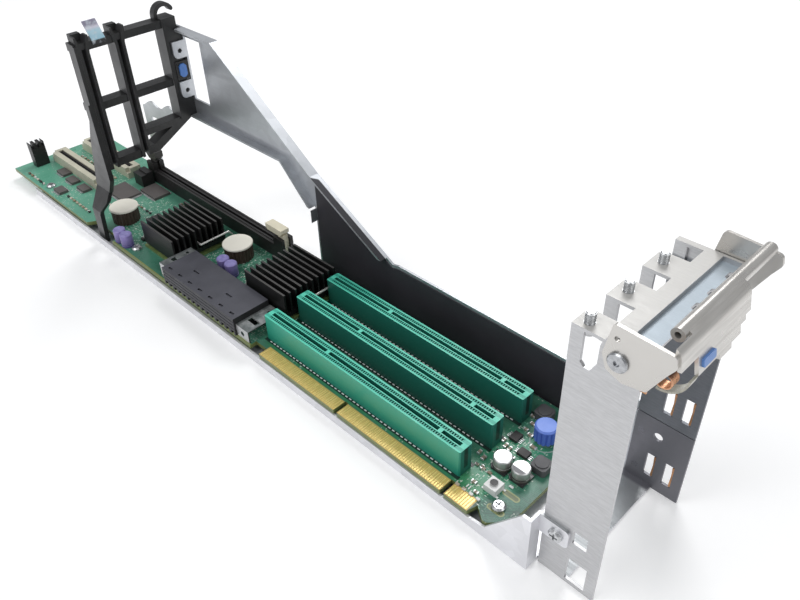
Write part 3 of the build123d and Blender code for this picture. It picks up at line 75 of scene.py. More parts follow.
# Materials
class Finish:
    """A node material that is put together from patterns on Object coordinates."""

    def __init__(self, name, color, roughness, metallic=0.0, specular=0.5):
        self.material = bpy.data.materials.new(name)
        self.material.use_nodes = True
        self.tree = self.material.node_tree
        self.shader = self.tree.nodes["Principled BSDF"]
        self.shader.inputs["Base Color"].default_value = (*color, 1)
        self.shader.inputs["Roughness"].default_value = roughness
        self.shader.inputs["Metallic"].default_value = metallic
        self.shader.inputs["Specular IOR Level"].default_value = specular
        self.place = self.tree.nodes.new("ShaderNodeTexCoord").outputs["Object"]
        self.color = None

    def add(self, kind, **values):
        """A new node; each value sets the socket of that name, or else the node's own setting."""
        node = self.tree.nodes.new(kind)
        for key, value in values.items():
            if key in node.inputs:
                self.feed(node.inputs[key], value)
            else:
                setattr(node, key, value)
        return node

    def feed(self, socket, value):
        """Links a socket to another, or gives it a plain value."""
        if isinstance(value, bpy.types.NodeSocket):
            self.tree.links.new(value, socket)
        else:
            socket.default_value = value

    def stretched(self, scale, turn=(0, 0, 0), shift=(0, 0, 0)):
        mapping = self.add("ShaderNodeMapping", Vector=self.place)
        mapping.inputs["Scale"].default_value = scale
        mapping.inputs["Rotation"].default_value = turn
        mapping.inputs["Location"].default_value = shift
        return mapping.outputs["Vector"]

    def noise(self, scale, detail=4.0, place=None, rough=0.55):
        node = self.add("ShaderNodeTexNoise", Scale=scale, Detail=detail, Roughness=rough)
        self.feed(node.inputs["Vector"], place or self.place)
        return node.outputs["Fac"]

    def steps(self, value, *stops):
        """A colour ramp between stops of a position and a colour."""
        ramp = self.add("ShaderNodeValToRGB")
        marks = ramp.color_ramp.elements
        while len(marks) < len(stops):
            marks.new(0.5)
        for mark, (position, color) in zip(marks, stops):
            mark.position = position
            mark.color = (*color, 1)
        self.feed(ramp.inputs["Fac"], value)
        return ramp.outputs["Color"]

    def mask(self, value, low, high):
        """0 at low and 1 at high, whichever of the two is larger."""
        return self.ranged(value, low, high, 0.0, 1.0)

    def ranged(self, value, low, high, first, last):
        node = self.add("ShaderNodeMapRange", clamp=True)
        ends = {"From Min": low, "From Max": high, "To Min": first, "To Max": last}
        for key, number in ends.items():
            node.inputs[key].default_value = number
        self.feed(node.inputs["Value"], value)
        return node.outputs["Result"]

    def math(self, operation, first, second=0.0):
        node = self.add("ShaderNodeMath", operation=operation)
        self.feed(node.inputs[0], first)
        self.feed(node.inputs[1], second)
        return node.outputs["Value"]

    def times(self, first, second):
        return self.math("MULTIPLY", first, second)

    def larger(self, first, second):
        """The larger of two masks; the first may still be missing."""
        return second if first is None else self.math("MAXIMUM", first, second)

    def blend(self, factor, first, second):
        node = self.add("ShaderNodeMix", data_type="RGBA", blend_type="MIX")
        self.feed(node.inputs[MIX_FACTOR], factor)
        for place, value in ((MIX_FIRST, first), (MIX_SECOND, second)):
            self.feed(node.inputs[place], (*value, 1) if isinstance(value, tuple) else value)
        return node.outputs[MIX_RESULT]

    def axis(self, letter):
        node = self.add("ShaderNodeSeparateXYZ", Vector=self.place)
        return node.outputs[letter]

    def facing(self, letter):
        normal = self.add("ShaderNodeNewGeometry").outputs["Normal"]
        return self.add("ShaderNodeSeparateXYZ", Vector=normal).outputs[letter]

    def beyond(self, letter, low, high):
        """Rises from 0 to 1 between two places on an axis, in millimetres."""
        return self.mask(self.axis(letter), low * MM, high * MM)

    def toward(self, letter, low, high):
        """Faces that look along an axis: their normal's share of it, from low to high."""
        return self.mask(self.facing(letter), low, high)

    def within(self, value, low, high, soft=0.0001):
        """A band of a value with soft edges, in metres."""
        rising = self.mask(value, low - soft, low + soft)
        return self.times(rising, self.mask(value, high + soft, high - soft))

    def area(self, left, right, front, back, soft=0.0002):
        """A soft-edged field of the board, in millimetres."""
        along = self.within(self.axis("X"), left * MM, right * MM, soft)
        return self.times(along, self.within(self.axis("Y"), front * MM, back * MM, soft))

    def gap_from(self, x, y):
        """The distance from an upright line, in millimetres."""
        across = self.math("SUBTRACT", self.axis("X"), x * MM)
        along = self.math("SUBTRACT", self.axis("Y"), y * MM)
        return self.math("DIVIDE", self.length(across, along), MM)

    def length(self, across, along):
        squares = self.math("ADD", self.math("POWER", across, 2.0), self.math("POWER", along, 2.0))
        return self.math("SQRT", squares)

    def from_slot_row(self):
        """The distance along Y from the nearest card slot's middle, in metres."""
        counted = self.math("ADD", self.axis("Y"), -SLOT_ROWS[0] * MM)
        return self.math("PINGPONG", counted, SLOT_PITCH / 2 * MM)

    def paint(self, color):
        self.color = color
        self.feed(self.shader.inputs["Base Color"], color)

    def polish(self, value):
        self.feed(self.shader.inputs["Roughness"], value)

    def relief(self, value, height, strength=1.0):
        """Bump of a height in metres, on top of the bump that is there."""
        bump = self.add("ShaderNodeBump", Strength=strength, Distance=height)
        self.feed(bump.inputs["Height"], value)
        earlier = self.shader.inputs["Normal"].links
        if earlier:
            self.feed(bump.inputs["Normal"], earlier[0].from_socket)
        self.feed(self.shader.inputs["Normal"], bump.outputs["Normal"])


def shade(color, factor):
    """A colour made darker or lighter."""
    return tuple(min(1.0, part * factor) for part in color)


def moulded_plastic(name, color, roughness=0.42, grain=0.00002, spread=0.12, specular=0.45):
    """Moulded plastic: slight flow tones, a fine grain and duller patches."""
    finish = Finish(name, color, roughness, specular=specular)
    flow = finish.noise(60, 3)
    finish.paint(finish.steps(flow, (0.3, shade(color, 1 - spread)), (0.7, shade(color, 1 + spread))))
    finish.polish(finish.ranged(finish.noise(140, 4), 0.3, 0.7, roughness - 0.07, roughness + 0.08))
    finish.relief(finish.noise(2600, 2), grain)
    return finish


def plated_sheet(name, color, roughness=0.34, metallic=0.85):
    """Zinc-plated sheet: faint crystals, smudges and rolling lines along X."""
    finish = Finish(name, color, roughness, metallic)
    crystals = finish.add("ShaderNodeTexVoronoi", Scale=190.0, feature="F1")
    finish.feed(crystals.inputs["Vector"], finish.place)
    tones = finish.steps(crystals.outputs["Color"], (0.1, shade(color, 0.93)), (0.9, shade(color, 1.05)))
    smudge = finish.mask(finish.noise(22, 5), 0.42, 0.75)
    finish.paint(finish.blend(smudge, tones, shade(color, 0.86)))
    lines = finish.noise(1.0, 3, finish.stretched((40, 1900, 1900)))
    finish.polish(finish.ranged(lines, 0.3, 0.7, roughness - 0.06, roughness + 0.12))
    finish.relief(finish.noise(90, 4), 0.00006, 0.5)
    finish.relief(lines, 0.000012, 0.5)
    return finish


def brushed_sheet(name, color, roughness=0.36, metallic=0.8):
    """Steel sheet brushed in short strokes along X, with a few longer streaks."""
    finish = Finish(name, color, roughness, metallic)
    fine = finish.noise(1.0, 4, finish.stretched(SHORT_STROKES), 0.65)
    broad = finish.noise(1.0, 3, finish.stretched(LONG_STREAKS))
    tones = finish.steps(fine, (0.30, shade(color, 0.84)), (0.70, shade(color, 1.08)))
    streaks = finish.mask(broad, 0.55, 0.85)
    finish.paint(finish.blend(streaks, tones, shade(color, 0.86)))
    finish.polish(finish.ranged(fine, 0.3, 0.7, roughness - 0.06, roughness + 0.12))
    finish.relief(fine, 0.00002, 0.6)
    return finish


def cage_sheet():
    """Cage steel: pale near side, blue-grey ledge and shaded far side."""
    finish = brushed_sheet("cage_sheet", (0.60, 0.60, 0.61), 0.38, 0.7)
    strokes = finish.noise(1.0, 4, finish.stretched(SHORT_STROKES), 0.65)
    ledge = finish.times(finish.beyond("Z", 112.5, 113.0), finish.toward("Z", 0.6, 0.8))
    shelf = finish.steps(strokes, (0.3, (0.40, 0.47, 0.53)), (0.7, (0.47, 0.54, 0.60)))
    border = finish.steps(strokes, (0.3, (0.52, 0.51, 0.49)), (0.7, (0.58, 0.57, 0.55)))
    shelf = finish.blend(finish.beyond("Z", 116.4, 116.8), shelf, border)
    far = finish.times(finish.beyond("Y", 26.2, 27.5), finish.beyond("Z", 112.5, 111.5))
    shaded = finish.steps(strokes, (0.3, (0.16, 0.17, 0.19)), (0.7, (0.22, 0.23, 0.25)))
    tone = finish.blend(far, finish.color, shaded)
    finish.paint(finish.blend(ledge, tone, shelf))
    finish.feed(finish.shader.inputs["Metallic"], finish.ranged(ledge, 0, 1, 0.7, 0.2))
    return finish


def tray_sheet():
    """Zinc-plated tray, shaded on the plate and the floor behind the cage."""
    finish = plated_sheet("zinc_sheet", (0.83, 0.83, 0.86), 0.38, 0.6)
    beyond = finish.beyond("X", 229.0, 231.0)
    upright = finish.times(beyond, finish.beyond("Y", 26.2, 27.5))
    ground = finish.times(beyond, finish.toward("Z", 0.5, 0.8))
    cloudy = finish.blend(finish.noise(30, 2), (0.24, 0.25, 0.26), (0.42, 0.44, 0.45))
    tone = finish.blend(ground, finish.color, cloudy)
    finish.paint(finish.blend(upright, tone, (0.19, 0.19, 0.21)))
    return finish


def wall_sheet():
    """Zinc-plated back wall with broad soft shades; its sloped rim is dark by the film, with a pale edge."""
    finish = plated_sheet("wall_sheet", (0.60, 0.62, 0.65), 0.38)
    shades = finish.noise(1.0, 3, finish.stretched((16, 40, 30), (0, pi / 5, 0)))
    soft = finish.times(finish.mask(shades, 0.40, 0.65), 0.45)
    tone = finish.blend(soft, finish.color, (0.36, 0.37, 0.40))
    slanted = finish.math("SUBTRACT", finish.axis("X"), finish.times(finish.axis("Y"), 0.75))
    rim = finish.times(finish.mask(slanted, 0.0092, 0.0100), finish.toward("Z", 0.2, 0.4))
    rim = finish.times(rim, finish.beyond("Y", 35.2, 34.9))
    finish.paint(finish.blend(rim, tone, (0.045, 0.045, 0.050)))
    return finish


def rivet_steel():
    """Wall rivets, dark where they stand in the cage's shade."""
    finish = turned_metal("rivet_steel", (0.50, 0.51, 0.53), 0.3, 0.7)
    shaded = finish.beyond("X", 228.0, 229.0)
    finish.paint(finish.blend(shaded, finish.color, (0.17, 0.17, 0.19)))
    return finish


def spring_wire():
    """Bright drawn wire with a faint grain."""
    finish = Finish("spring_wire", (0.80, 0.78, 0.75), 0.26, 0.45)
    finish.paint(finish.steps(finish.noise(400, 3), (0.3, (0.74, 0.72, 0.69)), (0.7, (0.86, 0.84, 0.81))))
    finish.polish(finish.ranged(finish.noise(600, 2), 0.3, 0.7, 0.22, 0.32))
    return finish


def plug_grey():
    """Blue-grey plug moulding, with painted shade on its near sides and near-black painted shade on its right
    end.
    """
    finish = moulded_plastic("plug_grey", (0.078, 0.079, 0.095), 0.50, 0.00003, 0.16)
    # painted shade: faces that look along -Y are darker
    side = finish.toward("Y", -0.5, -0.8)
    tone = finish.blend(side, finish.color, (0.036, 0.036, 0.043))
    # painted shade: faces that look along +X are near black
    finish.paint(finish.blend(finish.toward("X", 0.5, 0.8), tone, (0.012, 0.012, 0.013)))
    return finish


def bracket_sheet():
    """Plug brackets: bright near faces, mottled tops and painted shade on the right ends."""
    finish = plated_sheet("bracket_sheet", (0.60, 0.61, 0.62), 0.36, 0.6)
    mottled = finish.steps(finish.noise(260, 4), (0.35, (0.16, 0.18, 0.18)), (0.65, (0.38, 0.40, 0.40)))
    tone = finish.blend(finish.toward("Z", 0.5, 0.8), finish.color, mottled)
    # painted shade: faces that look along +X are dark
    finish.paint(finish.blend(finish.toward("X", 0.5, 0.8), tone, (0.075, 0.100, 0.092)))
    return finish


def latch_sheet():
    """Bright latch sheet with light brushing along the flap and no stains."""
    finish = Finish("latch_sheet", (0.66, 0.64, 0.61), 0.27, 0.75)
    strokes = finish.noise(1.0, 4, finish.stretched((900, 60, 900)), 0.6)
    lines = finish.steps(strokes, (0.3, (0.52, 0.50, 0.47)), (0.7, (0.66, 0.64, 0.61)))
    ears = finish.mask(finish.math("ABSOLUTE", finish.facing("Y")), 0.6, 0.8)
    plain = finish.steps(finish.noise(35, 3), (0.3, (0.60, 0.58, 0.55)), (0.7, (0.66, 0.64, 0.61)))
    finish.paint(finish.blend(ears, lines, plain))
    finish.polish(finish.ranged(finish.noise(70, 3), 0.3, 0.7, 0.24, 0.34))
    return finish


def slot_teal():
    """Card slot plastic with painted light and shade: lit tops, shaded sides that darken towards the board, a
    painted reflection on the front face of the front slot, and painted shade for a groove in each right end.
    """
    finish = moulded_plastic("slot_teal", (0.014, 0.19, 0.13), 0.36, spread=0.08)
    # painted shade: the sides darken towards the board
    rise = finish.beyond("Z", BOARD_TOP, 21.5)
    side = finish.blend(rise, (0.013, 0.120, 0.088), (0.018, 0.170, 0.128))
    # painted reflection: the front face of the front slot is brighter
    near = finish.blend(rise, (0.012, 0.260, 0.180), (0.050, 0.400, 0.280))
    front = finish.times(finish.beyond("Y", -24.0, -24.6), finish.toward("Y", -0.5, -0.8))
    side = finish.blend(front, side, near)
    row = finish.from_slot_row()
    # painted shade standing for a groove at each right end
    end = finish.times(finish.beyond("X", 186.85, 186.95), finish.mask(row, 0.0013, 0.0011))
    groove = finish.times(end, finish.beyond("Z", 10.5, 10.9))
    side = finish.blend(groove, side, (0.003, 0.030, 0.022))
    # painted light: the tops are lit, much brighter than the sides
    top = finish.times(finish.beyond("Z", 20.6, 21.0), finish.toward("Z", 0.45, 0.7))
    flow = finish.steps(finish.noise(120, 3), (0.3, (0.045, 0.390, 0.285)), (0.7, (0.060, 0.460, 0.340)))
    rails = finish.larger(finish.mask(row, 0.0030, 0.0033), finish.mask(row, 0.0015, 0.0013))
    finish.paint(finish.blend(top, side, finish.blend(rails, flow, (0.105, 0.640, 0.470))))
    return finish


def guide_black():
    """Black moulding whose broad near faces carry a painted grey reflection, darker above and at the foot."""
    finish = moulded_plastic("guide_black", (0.018, 0.018, 0.018), 0.36, 0.00003)
    # painted reflection: faces that look along -Y are grey, graded by height
    broad = finish.toward("Y", -0.6, -0.9)
    painted_reflection = finish.steps(
        finish.beyond("Z", 36.0, 128.0),
        (0.0, (0.02, 0.02, 0.021)), (0.10, (0.02, 0.02, 0.021)), (0.20, (0.09, 0.09, 0.094)),
        (0.45, (0.17, 0.17, 0.175)), (0.8, (0.09, 0.09, 0.094)), (1.0, (0.03, 0.03, 0.032)),
    )
    cloudy = finish.blend(finish.mask(finish.noise(45, 4), 0.4, 0.7), painted_reflection, (0.07, 0.07, 0.073))
    finish.paint(finish.blend(finish.times(broad, 0.85), finish.color, cloudy))
    return finish


def switch_white():
    """White switch body with a black round button."""
    finish = moulded_plastic("switch_white", (0.78, 0.78, 0.77), 0.4)
    near = finish.mask(finish.gap_from(*SWITCH_PLACE), 1.75, 1.65)
    button = finish.times(near, finish.beyond("Z", 11.05, 11.1))
    finish.paint(finish.blend(button, finish.color, (0.012, 0.012, 0.013)))
    return finish


def knob_blue():
    """Blue knob with painted light on its paler top."""
    finish = moulded_plastic("knob_blue", (0.10, 0.19, 0.68), 0.42)
    # painted light: faces that look up are paler
    top = finish.toward("Z", 0.6, 0.85)
    cap = finish.steps(finish.noise(150, 3), (0.3, (0.17, 0.29, 0.80)), (0.7, (0.22, 0.35, 0.88)))
    finish.paint(finish.blend(top, finish.color, cap))
    return finish


def turned_metal(name, color, roughness=0.26, metallic=0.95):
    """Small plated metal pieces: grain, tarnish and handling marks."""
    finish = Finish(name, color, roughness, metallic)
    tarnish = finish.noise(700, 5)
    finish.paint(finish.steps(tarnish, (0.3, shade(color, 0.72)), (0.62, color), (0.85, shade(color, 1.12))))
    finish.polish(finish.ranged(finish.noise(1500, 3), 0.3, 0.7, roughness - 0.08, roughness + 0.16))
    finish.relief(finish.noise(3000, 2), 0.00001)
    return finish


def board_green(finish):
    """Lacquer: paler to the left, brighter by the small parts, deeper by the fingers, with a painted shadow at
    the corner.
    """
    cloud = finish.noise(90, 5)
    base = finish.steps(cloud, (0.3, (0.030, 0.125, 0.080)), (0.7, (0.052, 0.180, 0.120)))
    paler = finish.steps(cloud, (0.3, (0.110, 0.340, 0.235)), (0.7, (0.150, 0.420, 0.300)))
    base = finish.blend(finish.beyond("X", -20.0, -170.0), base, paler)
    bright = finish.steps(cloud, (0.3, (0.040, 0.250, 0.135)), (0.7, (0.065, 0.340, 0.190)))
    base = finish.blend(finish.area(184, 206, -22, 12, 0.003), base, bright)
    base = finish.blend(finish.area(62, 200, -28, -20, 0.002), base, (0.035, 0.230, 0.085))
    # painted shadow: a dark band across the front right corner
    slanted = finish.math("ADD", finish.times(finish.axis("X"), 0.80), finish.times(finish.axis("Y"), -0.60))
    return finish.blend(finish.mask(slanted, 0.1745, 0.1790), base, (0.020, 0.080, 0.058))


def board_tracks(finish):
    """Copper tracks under the lacquer: bundles of lines in four directions."""
    tracks = None
    for turn, shift in ((0.0, 0.0), (pi / 2, 0.3), (pi / 4, 0.7), (pi / 8, 0.1)):
        wave = finish.add("ShaderNodeTexWave", wave_type="BANDS", Scale=430.0, Distortion=0.0)
        finish.feed(wave.inputs["Vector"], finish.stretched((1, 1, 1), (0, 0, turn)))
        line = finish.mask(wave.outputs["Fac"], 0.55, 0.85)
        cells = finish.add("ShaderNodeTexVoronoi", Scale=115.0, feature="F1")
        finish.feed(cells.inputs["Vector"], finish.stretched((1, 1, 1), (0, 0, turn), (shift, shift, 0)))
        split = finish.add("ShaderNodeSeparateColor")
        finish.feed(split.inputs["Color"], cells.outputs["Color"])
        bundle = finish.times(line, finish.mask(split.outputs[0], 0.70, 0.75))
        tracks = finish.larger(tracks, bundle)
    return tracks


def board_vias(finish):
    """Small pale dots, gathered in some places."""
    vias = finish.add("ShaderNodeTexVoronoi", Scale=420.0, feature="F1")
    finish.feed(vias.inputs["Vector"], finish.stretched((1, 1, 0.01)))
    dots = finish.mask(vias.outputs["Distance"], 0.17, 0.12)
    return finish.times(dots, finish.mask(finish.noise(60, 2), 0.50, 0.54))


# Left, right, front and back of the fields that are full of print marks, in millimetres
BUSY_FIELDS = (
    (186, 204, -33, -13), (186, 207, -13, 22), (-8, 60, 16, 24), (-110, -60, -12, 14),
    (-28, 24, -12, 18), (-92, -64, -28, -12), (-208, -140, -6, 14),
)


def board_marks(finish):
    """Fine print dashes, full in the busy fields and looser here and there."""
    busy = None
    for field in BUSY_FIELDS:
        busy = finish.larger(busy, finish.area(*field, 0.002))
    loose = finish.mask(finish.noise(30, 2), 0.56, 0.66)
    busy = finish.larger(busy, finish.times(loose, 0.7))
    black, white = (0, 0, 0, 1), (1, 1, 1, 1)
    settings = {
        "Color1": black, "Color2": white, "Mortar": black, "Mortar Size": 0.11, "Mortar Smooth": 0.0,
        "Brick Width": 0.62, "Row Height": 0.36,
    }
    marks = None
    for turn, scale in ((0.0, 340.0), (pi / 2, 300.0)):
        bricks = finish.add("ShaderNodeTexBrick", Scale=scale, offset=0.37)
        for key, value in settings.items():
            bricks.inputs[key].default_value = value
        finish.feed(bricks.inputs["Vector"], finish.stretched((1, 1, 0.0), (0, 0, turn)))
        marks = finish.larger(marks, finish.mask(bricks.outputs["Color"], 0.68, 0.74))
    return finish.times(marks, busy)


# Middles of the oblong plated slots at the front right corner, in millimetres
PLATED_SLOTS = ((208.2, -17.85), (208.0, -27.4))
PLATED_REACH = 0.0026


def board_slots(finish, color):
    """Oblong plated slots: an olive ring around a darker inside."""
    for x, y in PLATED_SLOTS:
        side = finish.math("ABSOLUTE", finish.math("SUBTRACT", finish.axis("Y"), y * MM))
        reach = finish.math("ABSOLUTE", finish.math("SUBTRACT", finish.axis("X"), x * MM))
        rest = finish.math("MAXIMUM", finish.math("SUBTRACT", reach, PLATED_REACH))
        gap = finish.length(rest, side)
        color = finish.blend(finish.mask(gap, 0.0016, 0.0014), color, (0.27, 0.30, 0.12))
        color = finish.blend(finish.mask(gap, 0.0010, 0.0008), color, (0.11, 0.14, 0.06))
    return color


def circuit_board():
    """Lacquered board: faint copper tracks under green, vias, plated slots and fine print dashes."""
    finish = Finish("board_lacquer", (0.04, 0.16, 0.11), 0.30)
    tracks = board_tracks(finish)
    color = finish.blend(finish.times(tracks, 0.45), board_green(finish), (0.085, 0.330, 0.215))
    color = finish.blend(board_vias(finish), color, (0.45, 0.55, 0.45))
    tint = finish.steps(
        finish.noise(500, 1),
        (0.40, (0.12, 0.42, 0.27)), (0.55, (0.52, 0.62, 0.52)), (0.70, (0.80, 0.82, 0.76)),
    )
    color = finish.blend(board_marks(finish), color, tint)
    beside = finish.within(finish.from_slot_row(), 0.0036, 0.0056)
    strip = finish.times(beside, finish.within(finish.axis("X"), 0.0585, 0.1875))
    color = finish.blend(strip, color, (0.008, 0.026, 0.020))
    color = board_slots(finish, color)
    upper = finish.toward("Z", 0.5, 0.8)
    rim = finish.times(finish.area(-80, 57, -34.6, -33.6), upper)
    color = finish.blend(rim, color, (0.28, 0.31, 0.10))
    gilt = finish.times(finish.area(65.6, 200, -36, -28.4), upper)
    color = finish.blend(gilt, color, (0.66, 0.46, 0.14))
    edge = finish.mask(finish.math("ABSOLUTE", finish.facing("Z")), 0.5, 0.3)
    finish.paint(finish.blend(edge, color, (0.17, 0.21, 0.07)))
    finish.relief(tracks, 0.00003, 0.4)
    finish.polish(finish.ranged(finish.noise(60, 3), 0.3, 0.7, 0.24, 0.42))
    return finish


def gold_plate():
    """Gold fingers, rubbed along Y."""
    finish = Finish("gold_plate", (0.95, 0.70, 0.22), 0.28, 0.3)
    rub = finish.noise(1.0, 4, finish.stretched((2400, 90, 400)))
    finish.paint(finish.steps(rub, (0.3, (0.88, 0.62, 0.17)), (0.7, (1.0, 0.80, 0.32))))
    finish.polish(finish.ranged(rub, 0.3, 0.7, 0.18, 0.36))
    return finish


def anodised_black():
    """Black fins: a painted highlight along the fin tops and fine extrusion lines along X."""
    finish = Finish("anodised_black", (0.009, 0.009, 0.009), 0.42, 0.2, 0.4)
    lines = finish.noise(1.0, 4, finish.stretched((50, 1600, 1600)))
    base = finish.steps(lines, (0.3, (0.006, 0.006, 0.006)), (0.7, (0.016, 0.016, 0.016)))
    # painted highlight: the fin tops are lighter
    top = finish.beyond("Z", 24.85, 24.95)
    finish.paint(finish.blend(top, base, (0.085, 0.082, 0.080)))
    finish.polish(finish.ranged(lines, 0.3, 0.7, 0.34, 0.52))
    finish.relief(lines, 0.00002)
    return finish


def carrier_lacquer():
    """Olive lacquer of the chip carriers under the heatsinks."""
    finish = Finish("carrier_lacquer", (0.17, 0.22, 0.07), 0.35)
    finish.paint(finish.steps(finish.noise(300, 4), (0.3, (0.10, 0.15, 0.05)), (0.7, (0.22, 0.28, 0.10))))
    finish.relief(finish.noise(900, 3), 0.00002)
    return finish


def coil_wire():
    """Dark wound wire: turns along Z, copper showing between them."""
    finish = Finish("coil_wire", (0.10, 0.07, 0.06), 0.4)
    turns = finish.add("ShaderNodeTexWave", bands_direction="Z", Scale=420.0, Distortion=1.5)
    finish.feed(turns.inputs["Vector"], finish.place)
    tones = ((0.2, (0.016, 0.013, 0.012)), (0.6, (0.050, 0.038, 0.033)), (0.9, (0.150, 0.090, 0.065)))
    finish.paint(finish.steps(turns.outputs["Fac"], *tones))
    finish.relief(turns.outputs["Fac"], 0.0001, 0.6)
    return finish


def sleeve_purple():
    """Purple sleeve, darker towards its foot, with a paler top."""
    finish = Finish("sleeve_purple", (0.30, 0.25, 0.55), 0.32)
    tone = finish.steps(finish.noise(160, 3), (0.3, (0.20, 0.16, 0.42)), (0.7, (0.30, 0.25, 0.56)))
    foot = finish.beyond("Z", 14.0, BOARD_TOP)
    tone = finish.blend(foot, tone, (0.09, 0.07, 0.22))
    cap = finish.steps(finish.noise(400, 3), (0.3, (0.22, 0.19, 0.46)), (0.7, (0.34, 0.31, 0.62)))
    finish.paint(finish.blend(finish.toward("Z", 0.6, 0.85), tone, cap))
    finish.polish(finish.ranged(finish.noise(300, 3), 0.3, 0.7, 0.24, 0.42))
    return finish


def bare_can():
    """Aluminium cans: pale tops, a dark band on the right one, shaded sides and a dark foot."""
    finish = Finish("bare_can", (0.70, 0.71, 0.72), 0.30, 0.55)
    top = finish.toward("Z", 0.7, 0.9)
    tone = finish.steps(finish.noise(500, 4), (0.3, (0.68, 0.69, 0.70)), (0.7, (0.86, 0.87, 0.88)))
    height = finish.beyond("Z", 8.6, 13.8)
    side = finish.steps(height, (0.0, (0.16, 0.14, 0.12)), (0.5, (0.42, 0.41, 0.39)), (1.0, (0.60, 0.60, 0.60)))
    tone = finish.blend(top, side, tone)
    band = finish.times(finish.beyond("X", 200.8, 201.0), finish.beyond("Y", -9.0, -9.4))
    tone = finish.blend(finish.times(top, band), tone, (0.06, 0.06, 0.065))
    base = finish.beyond("Z", 8.8, 8.6)
    finish.paint(finish.blend(base, tone, (0.03, 0.03, 0.032)))
    finish.feed(finish.shader.inputs["Metallic"], finish.ranged(base, 0, 1, 0.55, 0.0))
    return finish


def speckled_parts():
    """Chip parts: tan, grey and black bodies that differ from one to the next."""
    finish = Finish("speckled_parts", (0.3, 0.22, 0.15), 0.4)
    cells = finish.add("ShaderNodeTexVoronoi", Scale=240.0, feature="F1")
    finish.feed(cells.inputs["Vector"], finish.place)
    split = finish.add("ShaderNodeSeparateColor")
    finish.feed(split.inputs["Color"], cells.outputs["Color"])
    bodies = (
        (0.2, (0.03, 0.03, 0.03)), (0.45, (0.30, 0.22, 0.14)),
        (0.7, (0.55, 0.48, 0.38)), (0.9, (0.72, 0.72, 0.70)),
    )
    finish.paint(finish.steps(split.outputs[1], *bodies))
    finish.relief(finish.noise(1500, 2), 0.00002)
    return finish


def insulating_film():
    """Black film on the wall, a little wavy."""
    finish = Finish("insulating_film", (0.036, 0.034, 0.041), 0.46, specular=0.4)
    finish.paint(finish.steps(finish.noise(35, 4), (0.3, (0.030, 0.028, 0.034)), (0.7, (0.044, 0.042, 0.050))))
    finish.polish(finish.ranged(finish.noise(20, 3), 0.3, 0.7, 0.40, 0.56))
    finish.relief(finish.noise(28, 3), 0.0002, 0.4)
    return finish


def pale_tab():
    """Thin clear tab, grey at its end and pale blue lower down."""
    finish = Finish("pale_tab", (0.6, 0.75, 0.85), 0.25)
    tone = finish.steps(
        finish.beyond("Z", 121.8, 134.2),
        (0.14, (0.02, 0.02, 0.022)), (0.18, (0.38, 0.66, 0.80)), (0.55, (0.52, 0.76, 0.88)),
        (0.70, (0.78, 0.77, 0.88)), (0.84, (0.30, 0.28, 0.38)),
    )
    finish.paint(finish.blend(finish.mask(finish.noise(300, 3), 0.5, 0.8), tone, (0.75, 0.82, 0.88)))
    finish.polish(finish.ranged(finish.noise(200, 3), 0.3, 0.7, 0.18, 0.34))
    return finish


def set_finish(names, finish):
    """Gives CAD nodes a finish in place of their own."""
    for name in names:
        node = nodes[name]
        node.data.materials.clear()
        node.data.materials.append(finish.material)


def finish_nodes():
    """Finishes all CAD nodes; the finishes that new pieces share are handed back."""
    set_finish(["tray"], tray_sheet())
    set_finish(["back_wall"], wall_sheet())
    set_finish(["rear_plate"], plated_sheet("rear_sheet", (0.60, 0.62, 0.64), 0.38))
    set_finish(["end_frame"], cage_sheet())
    set_finish(["card_latch"], latch_sheet())
    set_finish(["plug_bracket_left", "plug_bracket_right"], bracket_sheet())
    screws = turned_metal("screw_plating", (0.68, 0.69, 0.70))
    set_finish(["board_screws", "tab_screw", "bracket_studs", "standoffs", "knob_seat"], screws)
    set_finish(["wall_rivets"], rivet_steel())
    set_finish(["latch_rivets"], turned_metal("latch_rivet_steel", (0.50, 0.51, 0.53)))
    set_finish(["heatsink_clip_1", "heatsink_clip_2"], spring_wire())
    set_finish(["grounding_springs", "latch_spring"], turned_metal("copper_strip", (0.62, 0.32, 0.16), 0.3))
    set_finish(["riser_board"], circuit_board())
    set_finish(["gold_fingers"], gold_plate())
    teal = slot_teal()
    set_finish(["card_slot_1", "card_slot_2", "card_slot_3"], teal)
    black = moulded_plastic("socket_black", (0.016, 0.015, 0.015), 0.42)
    set_finish(["dimm_socket", "black_block", "black_header", "clip_anchors", "connector_inserts"], black)
    set_finish(["soic_chips"], moulded_plastic("chip_black", (0.034, 0.031, 0.031), 0.5, 0.00003))
    set_finish(["flat_chips"], moulded_plastic("chip_grey", (0.110, 0.100, 0.096), 0.5, 0.00003))
    set_finish(["dimm_latch_near"], moulded_plastic("latch_ivory", (0.72, 0.67, 0.52), 0.4))
    set_finish(["dimm_latch_far"], moulded_plastic("latch_black", (0.03, 0.028, 0.026), 0.42))
    set_finish(["chip_package_1", "chip_package_2"], carrier_lacquer())
    set_finish(["heatsink_1", "heatsink_2"], anodised_black())
    set_finish(["plug_housing"], plug_grey())
    set_finish(["coil_windings"], coil_wire())
    set_finish(["coil_caps"], moulded_plastic("cap_white", (0.80, 0.77, 0.68), 0.42, spread=0.05))
    set_finish(["purple_capacitors"], sleeve_purple())
    set_finish(["metal_capacitors"], bare_can())
    set_finish(["thumb_knob"], knob_blue())
    set_finish(["square_switch"], switch_white())
    set_finish(["shielded_inductors"], moulded_plastic("inductor_grey", (0.10, 0.10, 0.105), 0.5, 0.00004))
    cream = moulded_plastic("connector_cream", (0.55, 0.53, 0.42), 0.42)
    set_finish(["cream_connector_1", "cream_connector_2"], cream)
    set_finish(["small_passives"], speckled_parts())
    set_finish(["wall_insulator"], insulating_film())
    set_finish(["card_guide"], guide_black())
    set_finish(["guide_button"], moulded_plastic("button_blue", (0.10, 0.25, 0.66), 0.3))
    set_finish(["latch_touch_point"], moulded_plastic("touch_blue", (0.13, 0.27, 0.62), 0.35))
    set_finish(["guide_clip"], pale_tab())
    return teal, black, screws


